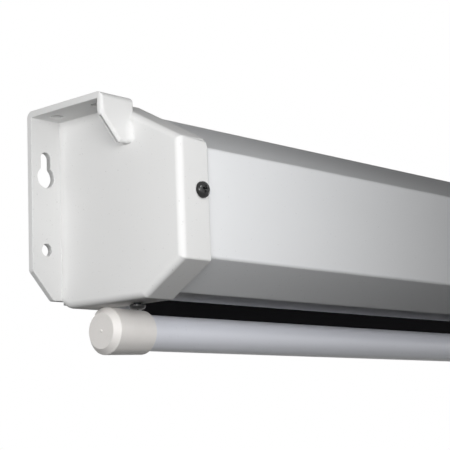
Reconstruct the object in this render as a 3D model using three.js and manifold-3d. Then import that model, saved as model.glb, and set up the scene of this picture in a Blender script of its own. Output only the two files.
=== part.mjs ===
import * as THREE from 'three';
import { mergeVertices } from 'three/addons/utils/BufferGeometryUtils.js';
import Module from 'manifold-3d';

// A pull-down projection screen, retracted. Millimetres, X along the case, the wall at Y = 0, +Z up.
// The origin is on the flat back of the case, at mid length and mid height.

// Whole screen
const plateToPlate = 1670;
const fitGap = 0.3;
const cutOverrun = 1;

// Case, depths from the wall, drops from the top
const caseHeight = 106.8;
const caseDepth = 94.4;
const caseTopDepth = 38;
const caseFrontDrop = 30.9;
const caseFrontHeight = 60;
const caseBottomDepth = 68;
const caseSheet = 1.2;
const caseBend = 2.4;
const caseEndGap = 0.4;
const slotDepth = 24.4;
const slotWidth = 22.4;
const slotLipHeight = 7;

// End cap: plate and rim
const capWall = 3.8;
const capClearance = 0.8;
const capReach = 22;
const capEdgeRadius = 3.9;
const capHeelRadius = 10;
const rimHeelDepth = 14;
const rimCornerRadius = 4;

// End cap: wall ear, ceiling flange and gusset
const earWidth = 20.7;
const earHeight = 107;
const earCutWidth = 14.6;
const earCutHeight = 16;
const earCornerRadius = 3;
const ceilingDepth = 62.4;
const bandRadius = 4;
const gussetEdgeHeight = 12;
const gussetHeight = 26.4;
const gussetTipWidth = 7.6;
const gussetCornerRadius = 3;
const gussetFillet = 4;

// Fixing holes of the end cap
const fixingHoleDiameter = 7;
const fixingHoleInset = 10.4;
const keyholeHeadDiameter = 12;
const keyholeHeadDrop = 37;
const keyholeSlotRise = 10.9;
const lowerHoleDrop = 78.6;
const ceilingHoleRearDepth = 14;
const ceilingHoleFrontDepth = 48;

// Pan-head screws of the end cap
const capScrewDiameter = 4.6;
const capScrewLength = 12;
const capScrewHeadDiameter = 9.1;
const capScrewHeadHeight = 3.1;
const capScrewFromPlate = 16.2;
const frontScrewDrop = 56;
const bottomScrewDepth = 48;
const recessWidth = 1.1;
const recessSpan = 5;
const recessDepth = 1.9;
// Rows of the domed head: share of its height, share of its radius
const headCrownShares = [[0.35, 1], [0.7, 0.9], [0.93, 0.55], [1, 0]];

// Roller and fabric
const rollerDrop = 53.4;
const rollerDiameter = 38;
const rollerWall = 1;
const rollerFromPlate = 36.3;
const rollDiameter = 47;
const fabricSheet = 0.8;
const fabricFromPlate = 42.2;

// Bottom bar
const barDiameter = 20.9;
const barWall = 1.3;
const barFromPlate = 10.2;
const barGrooveWidth = 2.4;
const barStopGap = 0.4;
const hemRodDiameter = 4.4;
const barCapLength = 31.4;
const barCapDiameter = 26.8;
const barCapRootDiameter = 25.2;
const barCapFaceDiameter = 20.2;
const barCapChamfer = 3.2;
const barCapFloor = 3.6;

// Roller brackets
const bossDiameter = 10;
const bossHeight = 5;
const bossPilotDiameter = 3.6;
const bracketSheet = 2;
const bracketDepth = 56;
const bracketHeight = 40;
const bracketScrewInset = 7;
const bracketScrewDiameter = 3;
const bracketScrewHeadDiameter = 6;
const bracketScrewHeadHeight = 2;
const seatReach = 8.6;
const seatDepth = 24;
const seatHeight = 30;
const bushDiameter = 14;
const bushFlangeDiameter = 18;
const bushFlangeSheet = 1.6;

// Spring motor
const spindleFlatSheet = 4;
const spindleFlatHeight = 8;
const spindleDiameter = 10;
const spindleCollarDiameter = 13;
const spindleCollarLength = 2.4;
const spindleFromPlate = 12;
const spindleLength = 75;
const spindleFlatLength = 11;
const ratchetDiameter = 20;
const ratchetWidth = 5;
const ratchetFromPlate = 27;
const notchWidth = 5.2;
const notchFloorDiameter = 13.8;
const plugFlangeSheet = 2;
const plugLength = 24;
const coreDiameter = 16;
const coreLength = 500;
const coreSocketLength = 28;
const coreTailDiameter = 7;
const coreTailLength = 28;
const springCoilSheet = 2.4;
const springShortfall = 8;
const idlePinDiameter = 8;
const idlePinLength = 40;
const idlePinFromPlate = 12.4;

// Pawls
const pawlArm = 11.2;
const pawlSheet = 4;
const pawlEyeDiameter = 6.6;
const pawlNoseWidth = 2.6;
const pawlNoseHeight = 1.8;
const pawlBack = 4.4;
const pawlWaist = 1.2;
const pawlGap = 0.35;
const pawlTilt = 70.5;
const pawlPinDiameter = 3;
const pawlPinHeadDiameter = 5;
const pawlPinHeadSheet = 1;

// Pull bail
const saddleLength = 60;
const saddleSheet = 2;
const saddleEarSheet = 3;
const saddleEarWidth = 10;
const bailPivotDrop = 17.4;
const bailWire = 4;
const bailWidth = 76;
const bailHeight = 34;
const bailBend = 7;
const bailStub = 5;
const saddleScrewSpread = 28;
const saddleScrewDiameter = 2.6;
const saddleScrewHeadDiameter = 5.4;
const saddleScrewHeadHeight = 1.6;
const saddleScrewLength = 6;

// Facets
const cornerSteps = 4;
const edgeSteps = 4;
const wideRoundSteps = 48;
const roundSteps = 32;
const smallRoundSteps = 20;
const wireSides = 8;
const wireSteps = 56;

const wasm = await Module();
wasm.setup();

// Places worked out from the sizes above
const half = plateToPlate / 2;
const topLevel = caseHeight / 2;
const capGrowth = capClearance + capWall;
const upperSlope = Math.atan2(caseFrontDrop, caseDepth - caseTopDepth);
const lowerRise = caseHeight - caseFrontDrop - caseFrontHeight;
const lowerSlope = Math.atan2(lowerRise, caseDepth - caseBottomDepth);
const rollRadius = rollDiameter / 2;
const rollerRadius = rollerDiameter / 2;
const rollerBore = rollerRadius - rollerWall;
const rollDepth = slotDepth + fabricSheet / 2 + fitGap + rollRadius;
const barRadius = barDiameter / 2;
const barDrop = caseHeight + capGrowth + barStopGap + barCapDiameter / 2;
const plugRadius = rollerBore - fitGap;
const seatFace = capWall + bossHeight + fitGap + bracketSheet;
const pinHole = fitGap * 2;

function solid(geometry) {
  const bare = geometry.clone();
  bare.deleteAttribute('normal');
  bare.deleteAttribute('uv');
  const merged = mergeVertices(bare);
  const corners = merged.index.array;
  const kept = [];
  for (let i = 0; i < corners.length; i += 3) {
    const [a, b, c] = [corners[i], corners[i + 1], corners[i + 2]];
    if (a !== b && b !== c && c !== a) kept.push(a, b, c);
  }
  const vertProperties = Float32Array.from(merged.attributes.position.array);
  const triVerts = Uint32Array.from(kept);
  return new wasm.Manifold(new wasm.Mesh({ numProp: 3, vertProperties, triVerts }));
}

function geometryOf(body) {
  const mesh = body.getMesh();
  const geometry = new THREE.BufferGeometry();
  geometry.setAttribute('position', new THREE.BufferAttribute(mesh.vertProperties, 3));
  geometry.setIndex(new THREE.BufferAttribute(mesh.triVerts, 1));
  return geometry;
}

// An outline through the points, each corner rounded by its own radius
function rounded(points, radii = []) {
  const corners = [];
  points.forEach((point, i) => {
    const corner = new THREE.Vector2(...point);
    const radius = radii[i] ?? 0;
    if (radius === 0) {
      corners.push(corner);
      return;
    }
    const back = new THREE.Vector2(...points.at(i - 1)).sub(corner).normalize();
    const ahead = new THREE.Vector2(...points[(i + 1) % points.length]).sub(corner).normalize();
    const opening = Math.acos(back.dot(ahead));
    const bisector = back.clone().add(ahead).normalize();
    const centre = corner.clone().addScaledVector(bisector, radius / Math.sin(opening / 2));
    const start = corner.clone().addScaledVector(back, radius / Math.tan(opening / 2)).sub(centre);
    const turn = (Math.PI - opening) * Math.sign(ahead.clone().cross(back));
    for (let k = 0; k <= cornerSteps; k += 1) {
      const spoke = start.clone().rotateAround(new THREE.Vector2(), turn * k / cornerSteps);
      corners.push(spoke.add(centre));
    }
  });
  return new THREE.Shape(corners);
}

// Shapes drawn as (depth, height) and run along X from one place to another
const depthBasis = new THREE.Matrix4().makeBasis(
  new THREE.Vector3(0, -1, 0), new THREE.Vector3(0, 0, 1), new THREE.Vector3(-1, 0, 0));

function alongX(shape, from, to) {
  const geometry = new THREE.ExtrudeGeometry(shape, { depth: to - from, bevelEnabled: false });
  geometry.translate(0, 0, -to).applyMatrix4(depthBasis);
  return solid(geometry);
}

// Shapes drawn as (X, height) and run away from the wall
const wallBasis = new THREE.Matrix4().makeBasis(
  new THREE.Vector3(1, 0, 0), new THREE.Vector3(0, 0, 1), new THREE.Vector3(0, -1, 0));

function fromWall(shape, from, to) {
  const geometry = new THREE.ExtrudeGeometry(shape, { depth: to - from, bevelEnabled: false });
  geometry.translate(0, 0, from).applyMatrix4(wallBasis);
  return solid(geometry);
}

// Shapes drawn as (X, Y) and run upwards
function upwards(shape, from, to) {
  const geometry = new THREE.ExtrudeGeometry(shape, { depth: to - from, bevelEnabled: false });
  geometry.translate(0, 0, from);
  return solid(geometry);
}

// A turned piece, its profile given as [place along X, radius]
function turned(profile, steps = roundSteps) {
  const points = profile.map(([along, radius]) => new THREE.Vector2(radius, along));
  return solid(new THREE.LatheGeometry(points, steps).rotateZ(-Math.PI / 2));
}

function rod(from, to, diameter, steps = roundSteps) {
  const radius = diameter / 2;
  return turned([[from, 0], [from, radius], [to, radius], [to, 0]], steps);
}

function pipe(from, to, outerDiameter, boreDiameter, steps = roundSteps) {
  const outer = outerDiameter / 2;
  const bore = boreDiameter / 2;
  return turned([[from, bore], [from, outer], [to, outer], [to, bore], [from, bore]], steps);
}

function box(lowX, highX, nearDepth, farDepth, lowZ, highZ) {
  const geometry = new THREE.BoxGeometry(highX - lowX, farDepth - nearDepth, highZ - lowZ);
  geometry.translate((lowX + highX) / 2, -(nearDepth + farDepth) / 2, (lowZ + highZ) / 2);
  return solid(geometry);
}

// The case section grown by a gap on the chamfers, front and bottom, and by another on top and back
function sectionAround(gap, rearGap = 0) {
  const topRun = caseTopDepth + gap / Math.sin(upperSlope) - rearGap / Math.tan(upperSlope);
  const upperShift = gap * (1 - Math.sin(upperSlope)) / Math.cos(upperSlope);
  const lowerShift = gap * (1 - Math.sin(lowerSlope)) / Math.cos(lowerSlope);
  const bottomShift = gap * (1 - Math.cos(lowerSlope)) / Math.sin(lowerSlope);
  return [
    [-rearGap, topLevel + rearGap],
    [topRun, topLevel + rearGap],
    [caseDepth + gap, topLevel - caseFrontDrop + upperShift],
    [caseDepth + gap, topLevel - caseFrontDrop - caseFrontHeight - lowerShift],
    [caseBottomDepth + bottomShift, topLevel - caseHeight - gap],
    [-rearGap, topLevel - caseHeight - gap],
  ];
}

function placed(body, depth, level) {
  return body.translate([0, -depth, level]);
}

const rollerLevel = topLevel - rollerDrop;
const barLevel = topLevel - barDrop;

function onRollerAxis(body) {
  return placed(body, rollDepth, rollerLevel);
}

function onBarAxis(body) {
  return placed(body, slotDepth, barLevel);
}

function caseShell() {
  const end = half - capWall - caseEndGap;
  const outline = sectionAround(0);
  const bends = outline.map(() => caseBend);
  const hollows = outline.map(() => caseBend - caseSheet);
  const bottomLevel = topLevel - caseHeight;
  const slotNear = slotDepth - slotWidth / 2;
  const slotFar = slotDepth + slotWidth / 2;
  const lipTop = bottomLevel + slotLipHeight;
  const inside = alongX(rounded(sectionAround(-caseSheet, -caseSheet), hollows),
    -end - cutOverrun, end + cutOverrun);
  const slot = box(-end - cutOverrun, end + cutOverrun, slotNear, slotFar,
    bottomLevel - cutOverrun, lipTop + cutOverrun);
  const screwHole = capScrewDiameter + pinHole;
  let shell = alongX(rounded(outline, bends), -end, end)
    .subtract(inside)
    .add(box(-end, end, slotNear - caseSheet, slotNear, bottomLevel, lipTop))
    .add(box(-end, end, slotFar, slotFar + caseSheet, bottomLevel, lipTop))
    .subtract(slot);
  for (const side of [-1, 1]) {
    const across = side * (half - capScrewFromPlate);
    shell = shell.subtract(screwTunnel(screwHole, true).translate([across, 0, 0]));
    shell = shell.subtract(screwTunnel(screwHole, false).translate([across, 0, 0]));
  }
  return shell;
}

// The way of a cap screw through rim and case, from the front or from below
function screwTunnel(diameter, fromFront) {
  const reach = capScrewLength;
  const bit = rod(-reach, reach, diameter, smallRoundSteps);
  if (fromFront) {
    return bit.rotate([0, 0, -90]).translate([0, -caseDepth, topLevel - frontScrewDrop]);
  }
  return bit.rotate([0, 90, 0]).translate([0, -bottomScrewDepth, topLevel - caseHeight]);
}

// The cap's plate and rim, X = 0 on the plate's outer face and growing over the case
function capBody() {
  const heels = [0, 0, 0, 0, 0, capHeelRadius];
  const block = new THREE.ExtrudeGeometry(rounded(sectionAround(capGrowth), heels), {
    depth: capReach,
    bevelThickness: capEdgeRadius,
    bevelSize: capEdgeRadius,
    bevelOffset: -capEdgeRadius,
    bevelSegments: edgeSteps,
  });
  block.translate(0, 0, -capReach - capEdgeRadius).applyMatrix4(depthBasis);
  const far = capReach + capEdgeRadius * 2 + cutOverrun;
  const behind = -cutOverrun;
  const above = topLevel + cutOverrun;
  const below = topLevel - caseHeight - capGrowth - cutOverrun;
  const cavity = alongX(new THREE.Shape(sectionAround(capClearance, cutOverrun)
    .map((point) => new THREE.Vector2(...point))), capWall, far);
  return solid(block)
    .subtract(box(capReach, far, behind, caseDepth + capGrowth + cutOverrun, below, above))
    .subtract(cavity)
    .subtract(box(capWall, far, behind, rimHeelDepth, below, above));
}

// Takes the two rims' far corners off where the front rim meets the upper chamfer rim
function rimCornerCut() {
  const start = capReach - rimCornerRadius;
  const shape = rounded([
    [start, 0],
    [capReach, 0],
    [capReach, -rimCornerRadius],
    [capReach + cutOverrun, -rimCornerRadius],
    [capReach + cutOverrun, rimCornerRadius],
    [capReach, rimCornerRadius],
    [capReach, 0],
  ], [0, rimCornerRadius, 0, 0, 0, 0, rimCornerRadius]);
  const [, , fold] = sectionAround(capGrowth);
  const lean = THREE.MathUtils.radToDeg(Math.PI / 2 - upperSlope) / 2;
  return fromWall(shape, -capGrowth * 2, capGrowth)
    .rotate([-lean, 0, 0])
    .translate([0, -fold[0], fold[1]]);
}

function keyholePath() {
  const head = keyholeHeadDiameter / 2;
  const slot = fixingHoleDiameter / 2;
  const lean = Math.asin(slot / head);
  const path = new THREE.Path();
  path.absarc(-fixingHoleInset, topLevel - keyholeHeadDrop + keyholeSlotRise, slot, 0, Math.PI);
  path.absarc(-fixingHoleInset, topLevel - keyholeHeadDrop, head,
    Math.PI / 2 + lean, Math.PI * 2 + Math.PI / 2 - lean);
  path.closePath();
  return path;
}

function roundHole(across, level, diameter) {
  const path = new THREE.Path();
  path.absarc(across, level, diameter / 2, 0, Math.PI * 2);
  return path;
}

function wallEar() {
  const cutLevel = topLevel - earHeight + earCutHeight;
  const shape = rounded([
    [-earWidth, topLevel],
    [-earWidth, cutLevel],
    [-earWidth + earCutWidth, topLevel - earHeight],
    [capWall, topLevel - earHeight],
    [capWall, topLevel],
  ], [0, earCornerRadius, earCornerRadius]);
  shape.holes.push(keyholePath());
  shape.holes.push(roundHole(-fixingHoleInset, topLevel - lowerHoleDrop, fixingHoleDiameter));
  return fromWall(shape, 0, capWall);
}

function ceilingFlange() {
  const shape = rounded([
    [-earWidth, 0], [-earWidth, -ceilingDepth], [capWall, -ceilingDepth], [capWall, 0],
  ]);
  for (const depth of [ceilingHoleRearDepth, ceilingHoleFrontDepth]) {
    shape.holes.push(roundHole(-fixingHoleInset, -depth, fixingHoleDiameter));
  }
  return upwards(shape, topLevel - capWall, topLevel);
}

function gusset() {
  const shape = rounded([
    [-earWidth, topLevel],
    [-earWidth, topLevel - gussetEdgeHeight],
    [-gussetTipWidth, topLevel - gussetHeight],
    [capWall, topLevel - gussetHeight],
    [capWall, topLevel],
  ], [0, gussetCornerRadius, gussetCornerRadius, 0, gussetCornerRadius]);
  return fromWall(shape, ceilingDepth - capWall, ceilingDepth);
}

// The hollow bend between the gusset and the end plate
function gussetRoot() {
  const nearDepth = ceilingDepth - cutOverrun;
  const farDepth = ceilingDepth + gussetFillet + cutOverrun;
  const shape = rounded([
    [capWall, -nearDepth],
    [-gussetFillet - cutOverrun, -nearDepth],
    [-gussetFillet - cutOverrun, -ceilingDepth],
    [0, -ceilingDepth],
    [0, -farDepth],
    [capWall, -farDepth],
  ], [0, 0, 0, gussetFillet]);
  const under = alongX(rounded(sectionAround(capGrowth - capEdgeRadius / 2)), -earWidth, capWall);
  return upwards(shape, topLevel - gussetHeight, topLevel).intersect(under);
}

// Where the four screws of a roller bracket stand, as [depth, level]
function bracketScrewPlaces() {
  const across = bracketDepth / 2 - bracketScrewInset;
  const up = bracketHeight / 2 - bracketScrewInset;
  return [[-across, -up], [across, -up], [across, up], [-across, up]]
    .map(([depth, level]) => [rollDepth + depth, rollerLevel + level]);
}

function endCap() {
  const bandRound = alongX(rounded([
    [0, topLevel - earHeight - cutOverrun],
    [0, topLevel],
    [ceilingDepth, topLevel],
    [ceilingDepth, topLevel - earHeight - cutOverrun],
  ], [0, bandRadius, bandRadius, 0]), -earWidth - cutOverrun, capWall + cutOverrun);
  const band = wallEar().add(ceilingFlange()).add(gusset()).intersect(bandRound);
  const screwHole = capScrewDiameter + pinHole;
  let cap = capBody().add(band).add(gussetRoot())
    .subtract(rimCornerCut())
    .subtract(screwTunnel(screwHole, true).translate([capScrewFromPlate, 0, 0]))
    .subtract(screwTunnel(screwHole, false).translate([capScrewFromPlate, 0, 0]));
  const bossEnd = capWall + bossHeight;
  const post = rod(capWall - cutOverrun, bossEnd, bossDiameter, smallRoundSteps);
  const pilot = rod(capWall, bossEnd + cutOverrun, bossPilotDiameter, smallRoundSteps);
  for (const [depth, level] of bracketScrewPlaces()) {
    cap = cap.add(placed(post, depth, level)).subtract(placed(pilot, depth, level));
  }
  return cap;
}

// A pan-head screw along X, its seat at X = 0 and its head towards +X
function panScrew(diameter, length, headDiameter, headHeight) {
  const head = headDiameter / 2;
  const dome = headCrownShares.map(([up, out]) => [headHeight * up, head * out]);
  return turned([
    [-length, 0], [-length, diameter / 2], [0, diameter / 2], [0, head], ...dome,
  ], smallRoundSteps);
}

function capScrew() {
  const slot = box(capScrewHeadHeight - recessDepth, capScrewHeadHeight + cutOverrun,
    -recessWidth / 2, recessWidth / 2, -recessSpan / 2, recessSpan / 2);
  return panScrew(capScrewDiameter, capScrewLength, capScrewHeadDiameter, capScrewHeadHeight)
    .subtract(slot)
    .subtract(slot.rotate([90, 0, 0]));
}

function frontCapScrew() {
  return capScrew().rotate([0, 0, -90])
    .translate([capScrewFromPlate, -caseDepth - capGrowth - fitGap, topLevel - frontScrewDrop]);
}

function bottomCapScrew() {
  return capScrew().rotate([0, 90, 0])
    .translate([capScrewFromPlate, -bottomScrewDepth, topLevel - caseHeight - capGrowth - fitGap]);
}

function bracketScrew() {
  return panScrew(bracketScrewDiameter, bracketSheet + bossHeight,
    bracketScrewHeadDiameter, bracketScrewHeadHeight).translate([seatFace + fitGap, 0, 0]);
}

function bracketPlate() {
  const from = capWall + bossHeight + fitGap;
  const nearDepth = rollDepth - bracketDepth / 2;
  const low = rollerLevel - bracketHeight / 2;
  let plate = box(from, from + bracketSheet, nearDepth, nearDepth + bracketDepth,
    low, low + bracketHeight);
  const hole = rod(0, seatFace + cutOverrun, bracketScrewDiameter + pinHole, smallRoundSteps);
  for (const [depth, level] of bracketScrewPlaces()) {
    plate = plate.subtract(placed(hole, depth, level));
  }
  return plate;
}

function bracketSeat() {
  return box(seatFace - cutOverrun, seatFace + seatReach,
    rollDepth - seatDepth / 2, rollDepth + seatDepth / 2,
    rollerLevel - seatHeight / 2, rollerLevel + seatHeight / 2);
}

// The slotted seat keeps the flat end of the spindle from turning and is open at the top
function springBracket() {
  const slotHalf = spindleFlatSheet / 2 + fitGap;
  const slot = box(seatFace, seatFace + seatReach + cutOverrun,
    rollDepth - slotHalf, rollDepth + slotHalf,
    rollerLevel - spindleFlatHeight / 2 - fitGap, rollerLevel + seatHeight / 2 + cutOverrun);
  return bracketPlate().add(bracketSeat()).subtract(slot);
}

function idleBracket() {
  const bore = onRollerAxis(rod(seatFace, seatFace + seatReach + cutOverrun,
    bushDiameter + pinHole));
  return bracketPlate().add(bracketSeat()).subtract(bore);
}

function idleBush() {
  const face = seatFace + seatReach + fitGap;
  const bore = (idlePinDiameter + pinHole) / 2;
  return onRollerAxis(turned([
    [seatFace + fitGap, bore],
    [seatFace + fitGap, bushDiameter / 2],
    [face, bushDiameter / 2],
    [face, bushFlangeDiameter / 2],
    [face + bushFlangeSheet, bushFlangeDiameter / 2],
    [face + bushFlangeSheet, bore],
    [seatFace + fitGap, bore],
  ]));
}

function springSpindle() {
  const collar = spindleFromPlate + spindleFlatLength;
  const flat = box(spindleFromPlate, collar + cutOverrun,
    rollDepth - spindleFlatSheet / 2, rollDepth + spindleFlatSheet / 2,
    rollerLevel - spindleFlatHeight / 2, rollerLevel + spindleFlatHeight / 2);
  const shaft = turned([
    [collar, 0],
    [collar, spindleCollarDiameter / 2],
    [collar + spindleCollarLength, spindleCollarDiameter / 2],
    [collar + spindleCollarLength, spindleDiameter / 2],
    [spindleFromPlate + spindleLength, spindleDiameter / 2],
    [spindleFromPlate + spindleLength, 0],
  ]);
  return flat.add(onRollerAxis(shaft));
}

// A pawl square to its arm just clears the crown of the ratchet
const crownReach = ratchetDiameter / 2 + pawlGap;

// Turns a piece drawn over the crown to its place at the rear (0) or the front (1) of the roller
function atPawl(body, side) {
  return onRollerAxis(body.rotate([side * 180 - pawlTilt, 0, 0]));
}

function ratchetWheel() {
  const disc = pipe(ratchetFromPlate, ratchetFromPlate + ratchetWidth,
    ratchetDiameter, spindleDiameter + pinHole);
  const notch = box(ratchetFromPlate - cutOverrun, ratchetFromPlate + ratchetWidth + cutOverrun,
    -notchWidth / 2, notchWidth / 2, notchFloorDiameter / 2, ratchetDiameter / 2 + cutOverrun);
  return onRollerAxis(disc).subtract(atPawl(notch, 0)).subtract(atPawl(notch, 1));
}

// The pawl's eye is above +Y and its nose reaches back over the crown
function pawl(side) {
  const nose = pawlNoseWidth / 2;
  const eyeRadius = pawlEyeDiameter / 2;
  const arm = rounded([
    [0, eyeRadius],
    [pawlArm + nose, pawlBack],
    [pawlArm + nose, 0],
    [pawlArm - nose, 0],
    [pawlArm - nose, pawlNoseHeight],
    [eyeRadius, pawlWaist],
    [0, 0],
  ]);
  const from = ratchetFromPlate + (ratchetWidth - pawlSheet) / 2;
  const to = from + pawlSheet;
  const bore = rod(from - cutOverrun, to + cutOverrun, pawlPinDiameter + pinHole, smallRoundSteps);
  const body = rod(from, to, pawlEyeDiameter, smallRoundSteps)
    .add(alongX(arm, from, to))
    .subtract(bore)
    .translate([0, pawlArm, crownReach]);
  return atPawl(body, side);
}

function pawlPin(side) {
  const end = rollerFromPlate - fitGap;
  const seat = ratchetFromPlate - fitGap;
  const pin = turned([
    [seat - pawlPinHeadSheet, 0],
    [seat - pawlPinHeadSheet, pawlPinHeadDiameter / 2],
    [seat, pawlPinHeadDiameter / 2],
    [seat, pawlPinDiameter / 2],
    [end, pawlPinDiameter / 2],
    [end, 0],
  ], smallRoundSteps);
  return atPawl(pin.translate([0, pawlArm, crownReach]), side);
}

// A plug in the end of the roller tube with a flange over the tube's end
function endPlug(boreDiameter) {
  const flange = rollerFromPlate - fitGap - plugFlangeSheet;
  const bore = boreDiameter / 2 + fitGap;
  return onRollerAxis(turned([
    [flange, bore],
    [flange, rollerRadius],
    [rollerFromPlate - fitGap, rollerRadius],
    [rollerFromPlate - fitGap, plugRadius],
    [rollerFromPlate + plugLength, plugRadius],
    [rollerFromPlate + plugLength, bore],
    [flange, bore],
  ], wideRoundSteps));
}

function springPlug() {
  const from = rollerFromPlate - fitGap - plugFlangeSheet - cutOverrun;
  const seat = rod(from, rollerFromPlate + cutOverrun, pawlPinDiameter + pinHole, smallRoundSteps)
    .translate([0, pawlArm, crownReach]);
  return endPlug(spindleDiameter).subtract(atPawl(seat, 0)).subtract(atPawl(seat, 1));
}

const coreStart = rollerFromPlate + plugLength + fitGap * 2;
const coreEnd = coreStart + coreLength;

function springCore() {
  const socket = rod(coreStart - cutOverrun, coreStart + coreSocketLength,
    spindleDiameter + pinHole);
  const body = turned([
    [coreStart, 0],
    [coreStart, coreDiameter / 2],
    [coreEnd, coreDiameter / 2],
    [coreEnd, coreTailDiameter / 2],
    [coreEnd + coreTailLength, coreTailDiameter / 2],
    [coreEnd + coreTailLength, 0],
  ]);
  return onRollerAxis(body.subtract(socket));
}

function torsionSpring() {
  const bore = coreDiameter + pinHole;
  return onRollerAxis(pipe(coreStart + springShortfall, coreEnd - springShortfall,
    bore + springCoilSheet * 2, bore));
}

function anchorPlug() {
  const from = coreEnd + fitGap;
  return onRollerAxis(pipe(from, from + plugLength, plugRadius * 2,
    coreTailDiameter + pinHole, wideRoundSteps));
}

function idlePin() {
  return onRollerAxis(rod(idlePinFromPlate, idlePinFromPlate + idlePinLength, idlePinDiameter));
}

function rollerTube() {
  const end = half - rollerFromPlate;
  return onRollerAxis(pipe(-end, end, rollerDiameter, rollerBore * 2, wideRoundSteps));
}

function woundFabric() {
  const end = half - fabricFromPlate;
  return onRollerAxis(pipe(-end, end, rollDiameter, rollerDiameter + pinHole, wideRoundSteps));
}

const hemRodLevel = barLevel + barRadius - barWall - fitGap - hemRodDiameter / 2;

function screenFabric() {
  const end = half - fabricFromPlate;
  return box(-end, end, slotDepth - fabricSheet / 2, slotDepth + fabricSheet / 2,
    hemRodLevel + hemRodDiameter / 2 + fitGap, rollerLevel);
}

function hemRod() {
  const end = half - fabricFromPlate;
  return placed(rod(-end, end, hemRodDiameter, smallRoundSteps), slotDepth, hemRodLevel);
}

function barTube() {
  const end = half - barFromPlate - barCapFloor - fitGap;
  const tube = onBarAxis(pipe(-end, end, barDiameter, barDiameter - barWall * 2, wideRoundSteps));
  let bar = tube.subtract(box(-end - cutOverrun, end + cutOverrun,
    slotDepth - barGrooveWidth / 2, slotDepth + barGrooveWidth / 2,
    barLevel + barRadius - barWall * 2, barLevel + barRadius + cutOverrun));
  for (const place of saddleScrewPlaces()) {
    bar = bar.subtract(saddleScrewHole().translate([place, 0, 0]));
  }
  return bar;
}

function barCap() {
  const bore = barRadius + fitGap;
  const face = barCapFaceDiameter / 2;
  return onBarAxis(turned([
    [barFromPlate, 0],
    [barFromPlate, face],
    [barFromPlate + barCapChamfer, barCapDiameter / 2],
    [barFromPlate + barCapLength, barCapRootDiameter / 2],
    [barFromPlate + barCapLength, bore],
    [barFromPlate + barCapFloor, bore],
    [barFromPlate + barCapFloor, 0],
  ], wideRoundSteps));
}

function saddleScrewPlaces() {
  return [-saddleScrewSpread / 2, saddleScrewSpread / 2];
}

function saddleScrewHole() {
  const reach = barRadius + saddleSheet + fitGap + cutOverrun;
  const hole = rod(0, reach, saddleScrewDiameter + pinHole, smallRoundSteps);
  return onBarAxis(hole.rotate([0, 90, 0]));
}

const bailLevel = barLevel - bailPivotDrop;

function bailSaddle() {
  const end = saddleLength / 2;
  const bore = barRadius + fitGap;
  const outer = bore + saddleSheet;
  const cradle = onBarAxis(pipe(-end, end, outer * 2, bore * 2, wideRoundSteps))
    .subtract(box(-end - cutOverrun, end + cutOverrun, slotDepth - outer - cutOverrun,
      slotDepth + outer + cutOverrun, barLevel, barLevel + outer + cutOverrun));
  const ear = (from) => {
    const nose = saddleEarWidth / 2;
    const shape = new THREE.Shape();
    shape.moveTo(slotDepth - nose, barLevel);
    shape.lineTo(slotDepth - nose, bailLevel);
    shape.absarc(slotDepth, bailLevel, nose, Math.PI, Math.PI * 2);
    shape.lineTo(slotDepth + nose, barLevel);
    const room = onBarAxis(rod(-end - cutOverrun, end + cutOverrun, bore * 2, wideRoundSteps));
    return alongX(shape, from, from + saddleEarSheet).subtract(room);
  };
  const eye = placed(rod(-end - cutOverrun, end + cutOverrun, bailWire + pinHole,
    smallRoundSteps), slotDepth, bailLevel);
  let saddle = cradle.add(ear(-end)).add(ear(end - saddleEarSheet)).subtract(eye);
  for (const place of saddleScrewPlaces()) {
    saddle = saddle.subtract(saddleScrewHole().translate([place, 0, 0]));
  }
  return saddle;
}

function saddleScrew() {
  const seat = barRadius + fitGap + saddleSheet + fitGap;
  return onBarAxis(panScrew(saddleScrewDiameter, saddleScrewLength, saddleScrewHeadDiameter,
    saddleScrewHeadHeight).translate([seat, 0, 0]).rotate([0, 90, 0]));
}

// The wire handle: two stubs in the saddle's eyes and a loop hanging below
function pullBail() {
  const inner = saddleLength / 2 - saddleEarSheet - bailStub;
  const outer = bailWidth / 2;
  const path = new THREE.CurvePath();
  const at = (across, drop) => new THREE.Vector3(across, -slotDepth, bailLevel - drop);
  const line = (from, to) => path.add(new THREE.LineCurve3(from, to));
  const bend = (from, corner, to) => path.add(new THREE.QuadraticBezierCurve3(from, corner, to));
  line(at(-inner, 0), at(-outer + bailBend, 0));
  bend(at(-outer + bailBend, 0), at(-outer, 0), at(-outer, bailBend));
  line(at(-outer, bailBend), at(-outer, bailHeight - bailBend));
  bend(at(-outer, bailHeight - bailBend), at(-outer, bailHeight), at(-outer + bailBend, bailHeight));
  line(at(-outer + bailBend, bailHeight), at(outer - bailBend, bailHeight));
  bend(at(outer - bailBend, bailHeight), at(outer, bailHeight), at(outer, bailHeight - bailBend));
  line(at(outer, bailHeight - bailBend), at(outer, bailBend));
  bend(at(outer, bailBend), at(outer, 0), at(outer - bailBend, 0));
  line(at(outer - bailBend, 0), at(inner, 0));
  const wire = new THREE.Shape();
  for (let i = 0; i < wireSides; i += 1) {
    const angle = i * Math.PI * 2 / wireSides;
    const corner = [bailWire / 2 * Math.cos(angle), bailWire / 2 * Math.sin(angle)];
    if (i === 0) wire.moveTo(...corner);
    else wire.lineTo(...corner);
  }
  return new THREE.ExtrudeGeometry(wire, { extrudePath: path, steps: wireSteps });
}

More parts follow.
